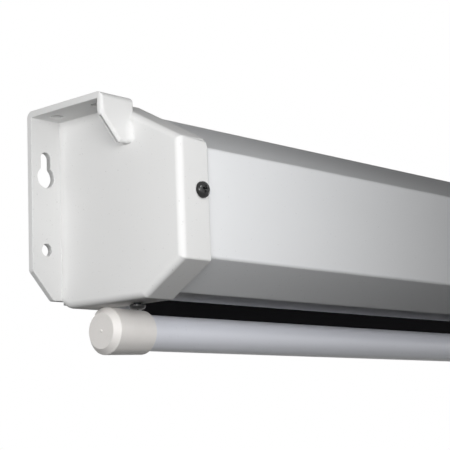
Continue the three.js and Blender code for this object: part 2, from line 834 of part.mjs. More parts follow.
const finish = (color, roughness, metalness) => (
  new THREE.MeshStandardMaterial({ color, roughness, metalness }));
const whitePaint = () => finish(0xe9eaea, 0.42, 0);
const whiteCap = () => finish(0xe6e6e5, 0.4, 0);
const brightSteel = () => finish(0xb9bcc0, 0.25, 1);
const zincSteel = () => finish(0xa9adb0, 0.4, 1);
const barPaint = () => finish(0xd5d9de, 0.35, 0);
const capPlastic = () => finish(0xd9d6d0, 0.5, 0);
const screenCloth = () => finish(0xf2f2ef, 0.9, 0);
const blackCloth = () => finish(0x101011, 0.9, 0);
const darkPlastic = () => finish(0x2b2c2e, 0.5, 0);
const nylon = () => finish(0xe8e4d8, 0.45, 0);
const springSteel = () => finish(0x6e7175, 0.35, 1);
const woodRod = () => finish(0xc9a36b, 0.7, 0);

const screen = new THREE.Group();

function addNode(name, geometry, material, across = 0) {
  const mesh = new THREE.Mesh(geometry, material);
  mesh.name = name;
  mesh.position.x = across;
  screen.add(mesh);
}

function atLeft(name, body, material) {
  addNode(name, geometryOf(body), material, -half);
}

function atRight(name, body, material) {
  addNode(name, geometryOf(body.mirror([1, 0, 0])), material, half);
}

function centred(name, body, material, across = 0) {
  addNode(name, geometryOf(body), material, across);
}

centred('case_shell', caseShell(), whitePaint());
atLeft('left_end_cap', endCap(), whiteCap());
atRight('right_end_cap', endCap(), whiteCap());
atLeft('left_front_screw', frontCapScrew(), brightSteel());
atLeft('left_bottom_screw', bottomCapScrew(), brightSteel());
atRight('right_front_screw', frontCapScrew(), brightSteel());
atRight('right_bottom_screw', bottomCapScrew(), brightSteel());
atLeft('left_roller_bracket', springBracket(), zincSteel());
atRight('right_roller_bracket', idleBracket(), zincSteel());
bracketScrewPlaces().forEach(([depth, level], i) => {
  const screw = placed(bracketScrew(), depth, level);
  atLeft(`left_bracket_screw_${i + 1}`, screw, zincSteel());
  atRight(`right_bracket_screw_${i + 1}`, screw, zincSteel());
});
atRight('idle_bush', idleBush(), nylon());
atLeft('spring_spindle', springSpindle(), zincSteel());
atLeft('ratchet_wheel', ratchetWheel(), zincSteel());
atLeft('spring_core', springCore(), woodRod());
atLeft('torsion_spring', torsionSpring(), springSteel());
centred('roller_tube', rollerTube(), zincSteel());
atLeft('spring_end_plug', springPlug(), darkPlastic());
atLeft('spring_anchor_plug', anchorPlug(), darkPlastic());
atRight('idle_end_plug', endPlug(idlePinDiameter), darkPlastic());
atRight('idle_pin', idlePin(), brightSteel());
atLeft('rear_pawl', pawl(0), zincSteel());
atLeft('front_pawl', pawl(1), zincSteel());
atLeft('rear_pawl_pin', pawlPin(0), zincSteel());
atLeft('front_pawl_pin', pawlPin(1), zincSteel());
centred('wound_fabric', woundFabric(), screenCloth());
centred('screen_fabric', screenFabric(), blackCloth());
centred('hem_rod', hemRod(), capPlastic());
centred('bar_tube', barTube(), barPaint());
atLeft('left_bar_cap', barCap(), capPlastic());
atRight('right_bar_cap', barCap(), capPlastic());
centred('bail_saddle', bailSaddle(), whitePaint());
saddleScrewPlaces().forEach((across, i) => {
  centred(`saddle_screw_${i + 1}`, saddleScrew(), brightSteel(), across);
});
addNode('pull_bail', pullBail(), brightSteel());

export default screen;
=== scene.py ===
"""A pull-down projection screen, rolled up in its white case. Sizes are in metres."""

import math
import bmesh
import bpy
from bpy.props import FloatProperty, FloatVectorProperty, PointerProperty
from bpy.types import Operator, Panel, PropertyGroup
from mathutils import Matrix, Vector


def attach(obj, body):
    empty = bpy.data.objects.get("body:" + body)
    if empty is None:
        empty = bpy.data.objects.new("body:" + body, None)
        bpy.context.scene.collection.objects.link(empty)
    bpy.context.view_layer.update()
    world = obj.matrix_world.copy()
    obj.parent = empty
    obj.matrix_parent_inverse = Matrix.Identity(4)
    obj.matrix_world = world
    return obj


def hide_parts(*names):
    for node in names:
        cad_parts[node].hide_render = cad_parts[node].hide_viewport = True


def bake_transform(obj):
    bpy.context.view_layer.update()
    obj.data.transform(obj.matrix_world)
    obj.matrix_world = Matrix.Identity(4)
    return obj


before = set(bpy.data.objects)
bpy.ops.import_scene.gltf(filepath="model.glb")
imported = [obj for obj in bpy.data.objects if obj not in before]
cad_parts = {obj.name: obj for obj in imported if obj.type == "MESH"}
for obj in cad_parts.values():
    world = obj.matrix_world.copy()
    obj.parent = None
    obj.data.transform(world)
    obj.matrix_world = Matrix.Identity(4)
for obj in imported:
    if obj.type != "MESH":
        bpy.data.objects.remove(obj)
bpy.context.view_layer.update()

bl_info = {
    "name": "Projection Screen",
    "version": (1, 0, 0),
    "blender": (4, 5, 0),
    "location": "3D View > Sidebar > Screen",
    "description": "Builds a pull-down projection screen with its case, end caps, cloth and bar",
    "category": "Add Mesh",
}

MM = 0.001
SEED = 11.0

# How far a cutter runs past the piece that it cuts
OVER = 2 * MM
FAR_OVER = 5 * MM

# The smallest corner radius that keeps its points apart
LEAST_RADIUS = 0.2 * MM

# Points closer than this become one
WELD = 0.02 * MM

# A face larger than this, in square metres, is shaded flat
LARGE_FACE = 100 * MM * MM

ALONG = Vector((1, 0, 0))
OUT = Vector((0, -1, 0))
UP = Vector((0, 0, 1))


# Sizes and colours


def length(name, description, millimetres):
    """A size the user can change, stored in metres."""
    return FloatProperty(
        name=name,
        description=description,
        default=millimetres * MM,
        min=0.0,
        precision=5,
        subtype="DISTANCE",
        unit="LENGTH",
    )


def colour(name, description, value):
    """A paint or material colour, in linear light."""
    return FloatVectorProperty(
        name=name, description=description, default=value, min=0.0, max=1.0, subtype="COLOR"
    )


def share(name, description, value, top=1.0):
    """A plain number without a unit."""
    return FloatProperty(name=name, description=description, default=value, min=0.0, max=top)


class CaseSizes(PropertyGroup):
    plate_to_plate: length("Plate to plate", "Between the outer faces of the end plates", 1670)
    height: length("Height", "Case height", 106.8)
    depth: length("Depth", "From the wall to the front face", 94.4)
    top_depth: length("Top depth", "From the wall to the upper chamfer", 38)
    front_drop: length("Front drop", "From the top to the front face", 30.9)
    front_height: length("Front height", "Height of the front face", 60)
    bottom_depth: length("Bottom depth", "From the wall to the lower chamfer", 68)
    sheet: length("Sheet", "Sheet thickness", 1.2)
    edge_break: length("Edge break", "Rounding of the sheet's edges", 0.2)
    bend: length("Bend", "Outer radius of the folds", 2.4)
    end_gap: length("End gap", "Between the end plate and the case", 0.4)
    slot_depth: length("Slot depth", "From the wall to the middle of the cloth slot", 24.4)
    slot_width: length("Slot width", "Width of the cloth slot", 22.4)
    lip: length("Slot lip", "Height of the folded lips of the slot", 7)
    rear_hem: length("Rear hem", "How far the back hangs below the bottom", 2)


class CapSizes(PropertyGroup):
    wall: length("Wall", "Wall thickness of the end cap", 3.8)
    clearance: length("Clearance", "Between the rim and the case", 0.8)
    reach: length("Reach", "How far the rim covers the case", 22)
    edge_radius: length("Edge radius", "Radius between the plate and the rim", 3.9)
    fold_radius: length("Fold radius", "Radius of the rim's folds", 1.6)
    heel_radius: length("Heel radius", "Radius of the rear bottom corner", 10)
    heel_depth: length("Heel depth", "Where the bottom rim starts", 8)
    rim_corner: length("Rim corner", "Radius of the rims' free corners", 4)
    ear_width: length("Ear width", "How far ear and ceiling flange stand out", 20.7)
    ear_height: length("Ear height", "Height of the wall ear", 107)
    ear_cut_width: length("Ear cut width", "Width of the ear's cut corner", 14.6)
    ear_cut_height: length("Ear cut height", "Height of the ear's cut corner", 16)
    ear_corner: length("Ear corner", "Radius above the ear's cut corner", 3)
    ear_foot: length("Ear foot", "Radius below the ear's cut corner", 2)
    ceiling_depth: length("Ceiling depth", "From the wall to the gusset's front", 62.4)
    flange_step: length("Flange step", "Where the flange steps back, past the upper chamfer", 2)
    band_radius: length("Band radius", "Outer radius of ear, flange and gusset", 4)
    gusset_edge: length("Gusset edge", "Height of the gusset's straight edge", 12)
    gusset_height: length("Gusset height", "Height of the gusset", 26.4)
    gusset_tip: length("Gusset tip", "Width of the gusset's tip", 7.6)
    gusset_corner: length("Gusset corner", "Corner radius of the gusset", 3)
    gusset_point: length("Gusset point", "Corner radius of the gusset's tip", 1.2)
    gusset_fillet: length("Gusset fillet", "Hollow radius between gusset and plate", 4.3)
    gusset_nose: length("Gusset nose", "Rounding of the gusset's front edge", 2.4)
    undercut: length("Undercut", "Width of the undercut behind the gusset's nose", 1.8)
    undercut_depth: length("Undercut depth", "Depth of that undercut", 6)
    undercut_back: length("Undercut back", "Wall left behind the undercut", 0.2)
    hole: length("Fixing hole", "Diameter of the fixing holes", 7)
    hole_inset: length("Hole inset", "From the plate to the holes", 10.4)
    key_head: length("Keyhole head", "Diameter of the keyhole's round part", 12)
    key_drop: length("Keyhole drop", "From the top to the keyhole's round part", 37)
    key_rise: length("Keyhole rise", "Up to the middle of the slot's round end", 10.9)
    lower_hole_drop: length("Lower hole drop", "From the top to the lower hole", 78.6)
    rear_hole_depth: length("Rear hole depth", "From the wall to the rear ceiling hole", 14)
    front_hole_depth: length("Front hole depth", "From the wall to the front ceiling hole", 48)
    edge_break: length("Edge break", "Rounding of the free edges", 0.45)
    post: length("Post", "Diameter of the bracket posts", 10)
    post_height: length("Post height", "Height of the bracket posts", 5)
    post_spread: length("Post spread", "Half the distance of the posts, front to back", 21)
    post_rise: length("Post rise", "Half the distance of the posts, up and down", 13)


class ScrewSizes(PropertyGroup):
    shank: length("Shank", "Diameter of the cap screws", 4.6)
    reach: length("Reach", "Length of the shank", 12)
    head: length("Head", "Diameter of the pan head", 9.1)
    head_height: length("Head height", "Height of the pan head", 3.0)
    stand_off: length("Stand off", "How far the bottom screws stand off the rim", 0.5)
    from_plate: length("From plate", "From the end plate to the screws", 16.2)
    front_drop: length("Front drop", "From the top to the front screw", 56)
    bottom_depth: length("Bottom depth", "From the wall to the bottom screw", 48)
    recess_span: length("Recess span", "Span of the cross recess", 5.0)
    recess_slot: length("Recess slot", "Width of the cross recess", 1.15)
    recess_depth: length("Recess depth", "Depth of the cross recess", 1.9)
    play: length("Play", "Between the shank and its hole, both sides together", 0.6)
    edge_break: length("Edge break", "Rounding of the head's edges", 0.12)


class BarSizes(PropertyGroup):
    diameter: length("Diameter", "Diameter of the bottom bar", 20.9)
    wall: length("Wall", "Wall of the bar tube", 1.3)
    groove: length("Groove", "Width of the groove for the cloth", 2.4)
    from_plate: length("From plate", "From the end plate to the bar cap's face", 10.2)
    cap_length: length("Cap length", "Length of the bar cap", 31.4)
    cap_diameter: length("Cap diameter", "Largest diameter of the bar cap", 26.8)
    cap_root: length("Cap root", "Diameter at the inner end of the bar cap", 25.2)
    cap_face: length("Cap face", "Diameter of the bar cap's flat face", 20.2)
    cap_chamfer: length("Cap chamfer", "Length of the bar cap's chamfer", 3.2)
    cap_floor: length("Cap floor", "Thickness of the bar cap's end", 3.6)
    cap_edge: length("Cap edge", "Rounding of the bar cap's edges", 0.6)
    axis_drop: length("Axis drop", "From the case's top to the bar's axis", 125.2)
    lift: length("Lift", "How far the rolled-up bar is drawn up", 0.3)
    edge_break: length("Edge break", "Rounding of the tube's edges", 0.15)
    fit: length("Fit", "Play between parts that fit together", 0.3)


class ClothSizes(PropertyGroup):
    from_plate: length("From plate", "From the end plate to the cloth's edge", 42.2)
    thickness: length("Thickness", "Thickness of the cloth", 0.4)
    view_width: length("View width", "Width of the white picture area", 1524)
    view_height: length("View height", "Height of the white picture area", 1524)
    bottom_border: length("Bottom border", "Black border below the picture", 45)
    travel: length("Travel", "How far the bar comes down", 1600)
    roll_depth: length("Roll depth", "From the wall to the roll's axis", 48.6)
    roll_drop: length("Roll drop", "From the case's top to the roll's axis", 53.4)
    roll_outer: length("Roll radius", "Outer radius of the wound cloth", 23.4)
    roll_inner: length("Tube radius", "Inner radius of the wound cloth", 19.4)
    hold: length("Hold", "From the case's bottom up to where the cloth moves with the bar", 3.4)
    turns: FloatProperty(
        name="Turns", description="Turns of cloth on the tube", default=12.0, min=1.0, max=40.0
    )


class HandleSizes(PropertyGroup):
    saddle_length: length("Saddle length", "Length of the saddle under the bar", 60)
    saddle_sheet: length("Saddle sheet", "Thickness of the saddle", 2)
    ear_sheet: length("Ear sheet", "Thickness of the saddle's ears", 3)
    ear_width: length("Ear width", "Width of the saddle's ears", 10)
    pivot_drop: length("Pivot drop", "From the bar's axis to the handle's pivot", 17.4)
    wire: length("Wire", "Diameter of the handle's wire", 4)
    width: length("Width", "Width of the handle, between wire centres", 76)
    height: length("Height", "Drop of the handle, between wire centres", 34)
    bend: length("Bend", "Bend radius of the handle", 7)
    stub: length("Stub", "How far the wire ends stand inside the ears", 5)
    screw_head: length("Screw head", "Head diameter of the saddle screws", 5.4)
    screw_head_height: length("Screw head height", "Head height of the saddle screws", 1.6)
    screw_shank: length("Screw shank", "Diameter of the saddle screws", 2.6)
    screw_reach: length("Screw reach", "Shank length of the saddle screws", 6)
    screw_spread: length("Screw spread", "Distance between the saddle screws", 28)
    screw_slot: length("Screw slot", "Width of the saddle screws' recess", 0.7)
    screw_recess: length("Screw recess", "Depth of the saddle screws' recess", 1)
    play: length("Play", "Between the wire and its eyes, both sides together", 0.6)
    edge_break: length("Edge break", "Rounding of the saddle's edges", 0.35)


class Finishes(PropertyGroup):
    case_paint: colour("Case paint", "Paint of the case", (0.82, 0.83, 0.842))
    cap_paint: colour("Cap paint", "Paint of the end caps", (0.74, 0.74, 0.735))
    bar_paint: colour("Bar paint", "Paint of the bottom bar", (0.60, 0.612, 0.66))
    bar_cap: colour("Bar cap", "Plastic of the bar caps", (0.66, 0.64, 0.62))
    black_cloth: colour("Black cloth", "Border and back of the cloth", (0.003, 0.003, 0.0035))
    white_cloth: colour("White cloth", "Picture area of the cloth", (0.84, 0.84, 0.83))
    screw_metal: colour("Screw metal", "Blackened steel of the cap screws", (0.012, 0.012, 0.012))
    zinc: colour("Zinc", "Zinc plated steel", (0.52, 0.53, 0.55))
    nickel: colour("Nickel", "Bright wire and small screws", (0.62, 0.61, 0.59))
    spring_steel: colour("Spring steel", "Oiled spring steel", (0.20, 0.21, 0.23))
    dark_plastic: colour("Dark plastic", "Plugs in the roller", (0.025, 0.025, 0.028))
    nylon: colour("Nylon", "Bush of the roller", (0.72, 0.70, 0.62))
    beech: colour("Beech", "Wooden core of the spring", (0.46, 0.29, 0.14))
    floor: colour("Floor", "Floor of the stage", (0.80, 0.80, 0.79))


class StageSettings(PropertyGroup):
    lens: FloatProperty(
        name="Lens", description="Focal length", default=104.1, min=20, max=300, unit="CAMERA"
    )
    azimuth: share("Azimuth", "Degrees to the left of straight ahead", 48.0, 180.0)
    rise: share("Rise", "Degrees the camera looks upwards", 9.35, 90.0)
    lean: share("Lean", "Degrees the camera leans to the right", 2.155, 45.0)
    camera_place: FloatVectorProperty(
        name="Camera place",
        description="Where the camera stands",
        default=(-1.31496, -0.56146, -0.13363),
        subtype="TRANSLATION",
        unit="LENGTH",
    )
    floor_drop: length("Floor drop", "From the screen down to the floor", 6000)
    floor_width: length("Floor width", "Width and depth of the floor", 50000)
    ambient: share("Ambient", "Even light from all round", 0.004, 2.0)


GROUPS = {
    "screen_case": CaseSizes,
    "screen_cap": CapSizes,
    "screen_screw": ScrewSizes,
    "screen_bar": BarSizes,
    "screen_cloth": ClothSizes,
    "screen_handle": HandleSizes,
    "screen_finish": Finishes,
    "screen_stage": StageSettings,
}


def settings(group):
    """The scene's settings of one group, such as "case"."""
    return getattr(bpy.context.scene, "screen_" + group)


# Outlines


def section(gap=0.0, rear_gap=0.0):
    """The case's outline as (depth, level).

    It grows by one gap in front and below, and by another behind and on top.
    """
    case = settings("case")
    top = case.height / 2
    upper = math.atan2(case.front_drop, case.depth - case.top_depth)
    rise = case.height - case.front_drop - case.front_height
    lower = math.atan2(rise, case.depth - case.bottom_depth)
    upper_shift = gap * (1 - math.sin(upper)) / math.cos(upper)
    lower_shift = gap * (1 - math.sin(lower)) / math.cos(lower)
    bottom_shift = gap * (1 - math.cos(lower)) / math.sin(lower)
    top_run = case.top_depth + gap / math.sin(upper) - rear_gap / math.tan(upper)
    return [
        (-rear_gap, top + rear_gap),
        (top_run, top + rear_gap),
        (case.depth + gap, top - case.front_drop + upper_shift),
        (case.depth + gap, top - case.front_drop - case.front_height - lower_shift),
        (case.bottom_depth + bottom_shift, top - case.height - gap),
        (-rear_gap, top - case.height - gap),
    ]


def rounded(points, radii=(), steps=8):
    """The outline with each corner rounded by its own radius."""
    corners = [Vector(p) for p in points]
    result = []
    for i, corner in enumerate(corners):
        radius = radii[i] if i < len(radii) else 0.0
        if radius == 0:
            result.append(corner)
            continue
        back = (corners[i - 1] - corner).normalized()
        ahead = (corners[(i + 1) % len(corners)] - corner).normalized()
        opening = math.acos(max(-1.0, min(1.0, back.dot(ahead))))
        centre = corner + (back + ahead).normalized() * radius / math.sin(opening / 2)
        spoke = corner + back * radius / math.tan(opening / 2) - centre
        turn = math.pi - opening
        if ahead.x * back.y - ahead.y * back.x < 0:
            turn = -turn
        for k in range(steps + 1):
            cos, sin = math.cos(turn * k / steps), math.sin(turn * k / steps)
            swung = Vector((spoke.x * cos - spoke.y * sin, spoke.x * sin + spoke.y * cos))
            result.append(centre + swung)
    return result


def inset(points, distance):
    """A convex outline drawn in by a distance, or let out where it is negative."""
    corners = [Vector(p) for p in points]
    area = sum(a.cross(b) for a, b in zip(corners, corners[1:] + corners[:1]))
    side = 1 if area > 0 else -1
    result = []
    for i, corner in enumerate(corners):
        back = (corner - corners[i - 1]).normalized()
        ahead = (corners[(i + 1) % len(corners)] - corner).normalized()
        first = Vector((-back.y, back.x)) * side
        second = Vector((-ahead.y, ahead.x)) * side
        result.append(corner + (first + second) * distance / (1 + first.dot(second)))
    return result


def arc(centre, radius, start, end, steps):
    """Points along an arc, angles in degrees."""
    angles = [math.radians(start + (end - start) * k / steps) for k in range(steps + 1)]
    across, up = centre
    return [Vector((across + radius * math.cos(a), up + radius * math.sin(a))) for a in angles]


def circle(centre, diameter, steps=48):
    """A full circle without its closing point."""
    return arc(centre, diameter / 2, 0, 360, steps)[:-1]


# Solids


class Solid:
    """A closed mesh that can be joined to others and cut by them."""

    # Whether the piece lies against wall and ceiling, and may not reach past them
    at_wall = False

    def __init__(self, shape):
        bmesh.ops.recalc_face_normals(shape, faces=shape.faces)
        mesh = bpy.data.meshes.new("solid")
        shape.to_mesh(mesh)
        shape.free()
        self.piece = bpy.data.objects.new("solid", mesh)
        bpy.context.scene.collection.objects.link(self.piece)

    def combine(self, other, operation):
        """Joins, cuts or trims this solid with another, which is used up."""
        modifier = self.piece.modifiers.new("combine", "BOOLEAN")
        modifier.operation = operation
        modifier.solver = "EXACT"
        modifier.object = other.piece
        settle(self.piece)
        bpy.data.objects.remove(other.piece)
        return self

    def __add__(self, other):
        return self.combine(other, "UNION")

    def __sub__(self, other):
        return self.combine(other, "DIFFERENCE")

    def __and__(self, other):
        return self.combine(other, "INTERSECT")


def settle(piece):
    """Makes what the modifiers show the piece's own mesh."""
    graph = bpy.context.evaluated_depsgraph_get()
    mesh = bpy.data.meshes.new_from_object(
        piece.evaluated_get(graph), preserve_all_data_layers=True, depsgraph=graph
    )
    worn = piece.data
    piece.modifiers.clear()
    piece.data = mesh
    if worn.users == 0 and isinstance(worn, bpy.types.Mesh):
        bpy.data.meshes.remove(worn)


def loft(rings):
    """A skin over rings of equally many points, with flat ends."""
    shape = bmesh.new()
    rows = [[shape.verts.new(point) for point in ring] for ring in rings]
    for row, following in zip(rows, rows[1:]):
        for k in range(len(row)):
            after = (k + 1) % len(row)
            shape.faces.new((row[k], row[after], following[after], following[k]))
    shape.faces.new(rows[0])
    shape.faces.new(rows[-1])
    return Solid(shape)


def place(outline, across, upwards, origin=Vector()):
    """A flat outline set into space."""
    return [origin + across * x + upwards * y for x, y in outline]


def run_along(ring, way, start, end):
    """A ring run along a direction, from start to end."""
    return loft([[p + way * start for p in ring], [p + way * end for p in ring]])


def along_case(outline, start, end):
    """An outline of (depth, level) run along the case."""
    return run_along(place(outline, OUT, UP), ALONG, start, end)


def from_wall(outline, start, end):
    """An outline of (place along the case, level) run away from the wall."""
    return run_along(place(outline, ALONG, UP), OUT, start, end)


def upright(outline, start, end):
    """An outline of (place along the case, depth) run upwards."""
    return run_along(place(outline, ALONG, OUT), UP, start, end)


def block(low, high):
    """A plain cutter between (place along, depth, level) corners."""
    outline = [(low[1], low[2]), (high[1], low[2]), (high[1], high[2]), (low[1], high[2])]
    return along_case(outline, low[0], high[0])


def turned(profile, steps):
    """A turned piece along X: the profile is (place along, radius)."""
    rings = []
    for along, radius in profile:
        ring = circle((0, 0), 2 * max(radius, 0.001 * MM), steps)
        rings.append(place(ring, OUT, UP, ALONG * along))
    return loft(rings)


def spun(solid, degrees):
    """The solid turned about the X axis."""
    solid.piece.data.transform(Matrix.Rotation(math.radians(degrees), 4, "X"))
    return solid


def mirrored(piece, name):
    """A copy of the piece for the other end of the screen."""
    mesh = piece.data.copy()
    mesh.transform(Matrix.Scale(-1, 4, ALONG))
    mesh.flip_normals()
    mesh.normals_split_custom_set([(0, 0, 0)] * len(mesh.loops))
    twin = bpy.data.objects.new(name, mesh)
    bpy.context.scene.collection.objects.link(twin)
    shaded(twin)
    return twin


def shaded(piece):
    """Smooth shading, but sharp edges break it, and large faces and end faces stay flat."""
    piece.data.polygons.foreach_set("use_smooth", [True] * len(piece.data.polygons))
    piece.data.set_sharp_from_angle(angle=math.radians(38))
    weighted = piece.modifiers.new("normals", "WEIGHTED_NORMAL")
    weighted.keep_sharp = True
    weighted.weight = 100
    settle(piece)
    mesh = piece.data
    normals = [corner.vector.copy() for corner in mesh.corner_normals]
    for face in mesh.polygons:
        if face.area > LARGE_FACE or abs(face.normal.x) > 0.9999:
            for k in face.loop_indices:
                normals[k] = face.normal.copy()
    mesh.normals_split_custom_set(normals)


def dressed(solid, name, finish, edge=0.0, angle=34.0, offset=Vector(), late=None):
    """The finished piece: welded, edges broken, cut once more, shaded smooth and coated."""
    piece = solid.piece
    piece.name = piece.data.name = name
    shape = bmesh.new()
    shape.from_mesh(piece.data)
    bmesh.ops.remove_doubles(shape, verts=shape.verts, dist=WELD)
    bmesh.ops.dissolve_limit(
        shape, angle_limit=math.radians(0.4), verts=shape.verts, edges=shape.edges
    )
    shape.to_mesh(piece.data)
    shape.free()
    if edge:
        bevel = piece.modifiers.new("edges", "BEVEL")
        bevel.width = edge
        bevel.segments = 3
        bevel.limit_method = "ANGLE"
        bevel.angle_limit = math.radians(angle)
        bevel.use_clamp_overlap = False
        bevel.miter_outer = "MITER_ARC"
    settle(piece)
    if late:
        solid -= late
    if solid.at_wall:
        highest = settings("case").height / 2
        for vertex in piece.data.vertices:
            vertex.co.y = min(vertex.co.y, 0.0)
            vertex.co.z = min(vertex.co.z, highest)
    shaded(piece)
    piece.data.transform(Matrix.Translation(offset))
    piece.data.materials.clear()
    piece.data.materials.append(finish)
    return piece


# Node trees


class Link:
    """An output in a node tree that takes part in sums with numbers and other outputs."""

    def __init__(self, tree, socket):
        self.tree = tree
        self.socket = socket

    def sum(self, operation, *values):
        """Any sum that the math node knows."""
        return self.tree.node("ShaderNodeMath", {"operation": operation}, list(values))

    def __add__(self, other):
        return self.sum("ADD", self, other)

    def __sub__(self, other):
        return self.sum("SUBTRACT", self, other)

    def __rsub__(self, other):
        return self.sum("SUBTRACT", other, self)

    def __mul__(self, other):
        return self.sum("MULTIPLY", self, other)

    def band(self, low, high):
        """0 below low, 1 above high, and smooth between."""
        return self.tree.node(
            "ShaderNodeMapRange",
            {"interpolation_type": "SMOOTHSTEP", "clamp": True},
            {"Value": self, "From Min": low, "From Max": high},
        )


class Tree:
    """Adds nodes to a node tree."""

    def __init__(self, tree):
        self.tree = tree

    def node(self, kind, options=None, inputs=None, output=0):
        """Adds one node: its options first, then the values or links of its sockets."""
        node = self.tree.nodes.new(kind)
        for name, value in (options or {}).items():
            setattr(node, name, value)
        pairs = enumerate(inputs) if isinstance(inputs, list) else (inputs or {}).items()
        for name, value in pairs:
            socket = node.inputs[name]
            if isinstance(value, Link):
                self.tree.links.new(value.socket, socket)
            else:
                socket.default_value = value
        return Link(self, node.outputs[output])


class Finish(Tree):
    """One material, its constants set straight on the shader."""

    def __init__(self, name, base, roughness, metallic=0.0, specular=0.5):
        self.material = bpy.data.materials.new(name)
        self.material.use_nodes = True
        super().__init__(self.material.node_tree)
        self.shader = self.tree.nodes["Principled BSDF"]
        self.shader.inputs["Base Color"].default_value = (*base, 1.0)
        self.shader.inputs["Roughness"].default_value = roughness
        self.shader.inputs["Metallic"].default_value = metallic
        self.shader.inputs["Specular IOR Level"].default_value = specular
        self.base = (*base, 1.0)
        self.place = self.node("ShaderNodeTexCoord", output=3)
        self.material.diffuse_color = (*base, 1.0)

    def noise(self, size, detail=2.0, stretch=(1.0, 1.0, 1.0), seed=0.0):
        """Noise whose patches are about one size across, in metres."""
        spot = self.node(
            "ShaderNodeMapping",
            {},
            {
                "Vector": self.place,
                "Scale": [1 / (size * s) for s in stretch],
                "Location": (SEED + seed, seed * 1.7, -seed),
            },
        )
        return self.node(
            "ShaderNodeTexNoise", {}, {"Vector": spot, "Scale": 1.0, "Detail": detail}
        )

    def tint(self, mask, shade):
        """Mixes another colour into the base where the mask is 1."""
        start = self.shader.inputs["Base Color"]
        if start.is_linked:
            base = Link(self, start.links[0].from_socket)
        else:
            base = self.base
        mixed = self.node(
            "ShaderNodeMix",
            {"data_type": "RGBA"},
            {0: mask, 6: base, 7: (*shade, 1.0)},
            output=2,
        )
        self.tree.links.new(mixed.socket, start)
        return self

    def rough(self, value):
        """Lets the roughness follow a value."""
        self.tree.links.new(value.socket, self.shader.inputs["Roughness"])
        return self

    def bump(self, height, distance, strength=1.0):
        """Raises the surface by height times distance, on top of earlier bumps."""
        normal = self.shader.inputs["Normal"]
        inputs = {"Height": height, "Distance": distance, "Strength": strength}
        if normal.is_linked:
            inputs["Normal"] = Link(self, normal.links[0].from_socket)
        lifted = self.node("ShaderNodeBump", {}, inputs)
        self.tree.links.new(lifted.socket, normal)
        return self


def darker(shade, factor):
    """A colour with less light in it."""
    return tuple(c * factor for c in shade)


def paint_finish(name, base, roughness, peel, specular):
    """Baked paint: a fine orange peel, slow changes of gloss and a few specks."""
    finish = Finish(name, base, roughness, specular=specular)
    peel_height = finish.noise(1.6 * MM, 2.0, seed=1.0)
    fine = finish.noise(0.45 * MM, 1.0, seed=2.0)
    slow = finish.noise(90 * MM, 3.0, stretch=(2.5, 1, 1), seed=3.0)
    specks = finish.noise(1.1 * MM, 0.0, seed=4.0).band(0.79, 0.83)
    finish.tint(slow.band(0.35, 0.75) * 0.5, darker(base, 0.965))
    finish.tint(specks * 0.35, darker(base, 0.6))
    finish.rough(slow * 0.10 + fine * 0.05 + (roughness - 0.075))
    finish.bump(peel_height, peel)
    finish.bump(fine, peel * 0.2)
    return finish.material


def moulded_finish(name, base, roughness, grain=0.03 * MM):
    """Moulded plastic: fine grain, faint flow clouds."""
    finish = Finish(name, base, roughness)
    cloud = finish.noise(12 * MM, 3.0, seed=5.0)
    grain_height = finish.noise(0.6 * MM, 2.0, seed=6.0)
    scuff = finish.noise(4 * MM, 4.0, stretch=(6.0, 1, 1), seed=7.0).band(0.62, 0.72)
    finish.tint(cloud.band(0.3, 0.8) * 0.6, darker(base, 0.93))
    finish.tint(scuff * 0.2, darker(base, 0.85))
    finish.rough(cloud * 0.12 + (roughness - 0.06))
    finish.bump(grain_height, grain)
    return finish.material


def metal_finish(name, base, roughness, grain=(1.0, 1.0, 1.0), worn=0.25):
    """Plated metal: clouds in the plating, fine scratches along one way."""
    finish = Finish(name, base, roughness, metallic=1.0)
    cloud = finish.noise(6 * MM, 3.0, seed=8.0)
    scratch = finish.noise(0.4 * MM, 3.0, stretch=grain, seed=9.0)
    finish.tint(cloud.band(0.45, 0.75) * worn, darker(base, 0.6))
    finish.rough(cloud * 0.12 + scratch * 0.08 + (roughness - 0.1))
    finish.bump(scratch, 0.012 * MM)
    return finish.material


def wood_finish(name, base):
    """Turned wood with its grain along X."""
    finish = Finish(name, base, 0.6)
    grain = finish.noise(1.2 * MM, 4.0, stretch=(30.0, 1, 1), seed=10.0)
    streak = finish.noise(4 * MM, 3.0, stretch=(25.0, 1, 1), seed=12.0)
    finish.tint(grain.band(0.4, 0.7) * 0.6, darker(base, 0.55))
    finish.tint(streak.band(0.5, 0.8) * 0.4, darker(base, 0.75))
    finish.bump(grain, 0.06 * MM)
    return finish.material


def cloth_finish(name, black, white):
    """Coated weave: black border and back, white picture area, told apart by attributes."""
    cloth = settings("cloth")
    finish = Finish(name, black, 0.85, specular=0.05)
    level = finish.node("ShaderNodeAttribute", {"attribute_name": "cloth_level"}, output=2)
    front = finish.node("ShaderNodeAttribute", {"attribute_name": "cloth_front"}, output=2)
    spot = finish.node("ShaderNodeSeparateXYZ", {}, [finish.place])
    half = cloth.view_width / 2
    edge = 0.4 * MM
    inside = (spot + half).band(0.0, edge) * (half - spot).band(0.0, edge)
    above = (level - cloth.bottom_border).band(0.0, edge)
    below = (cloth.bottom_border + cloth.view_height - level).band(0.0, edge)
    picture = inside * above * below * front
    thread = 0.55 * MM
    warp = finish.node(
        "ShaderNodeTexWave",
        {"wave_type": "BANDS", "bands_direction": "X", "wave_profile": "SIN"},
        {"Vector": finish.place, "Scale": 1 / thread / 20 * math.pi},
        output=1,
    )
    weft = level.sum("SINE", level * (2 * math.pi / thread)) * 0.5 + 0.5
    shade = finish.noise(30 * MM, 3.0, seed=13.0)
    finish.tint(shade.band(0.4, 0.8) * 0.4, tuple(c * 1.6 + 0.001 for c in black))
    finish.tint(picture, white)
    finish.tint(picture * (warp * weft) * 0.06, darker(white, 0.8))
    finish.bump(warp * weft, 0.04 * MM, 0.6)
    return finish.material


# Geometry node trees


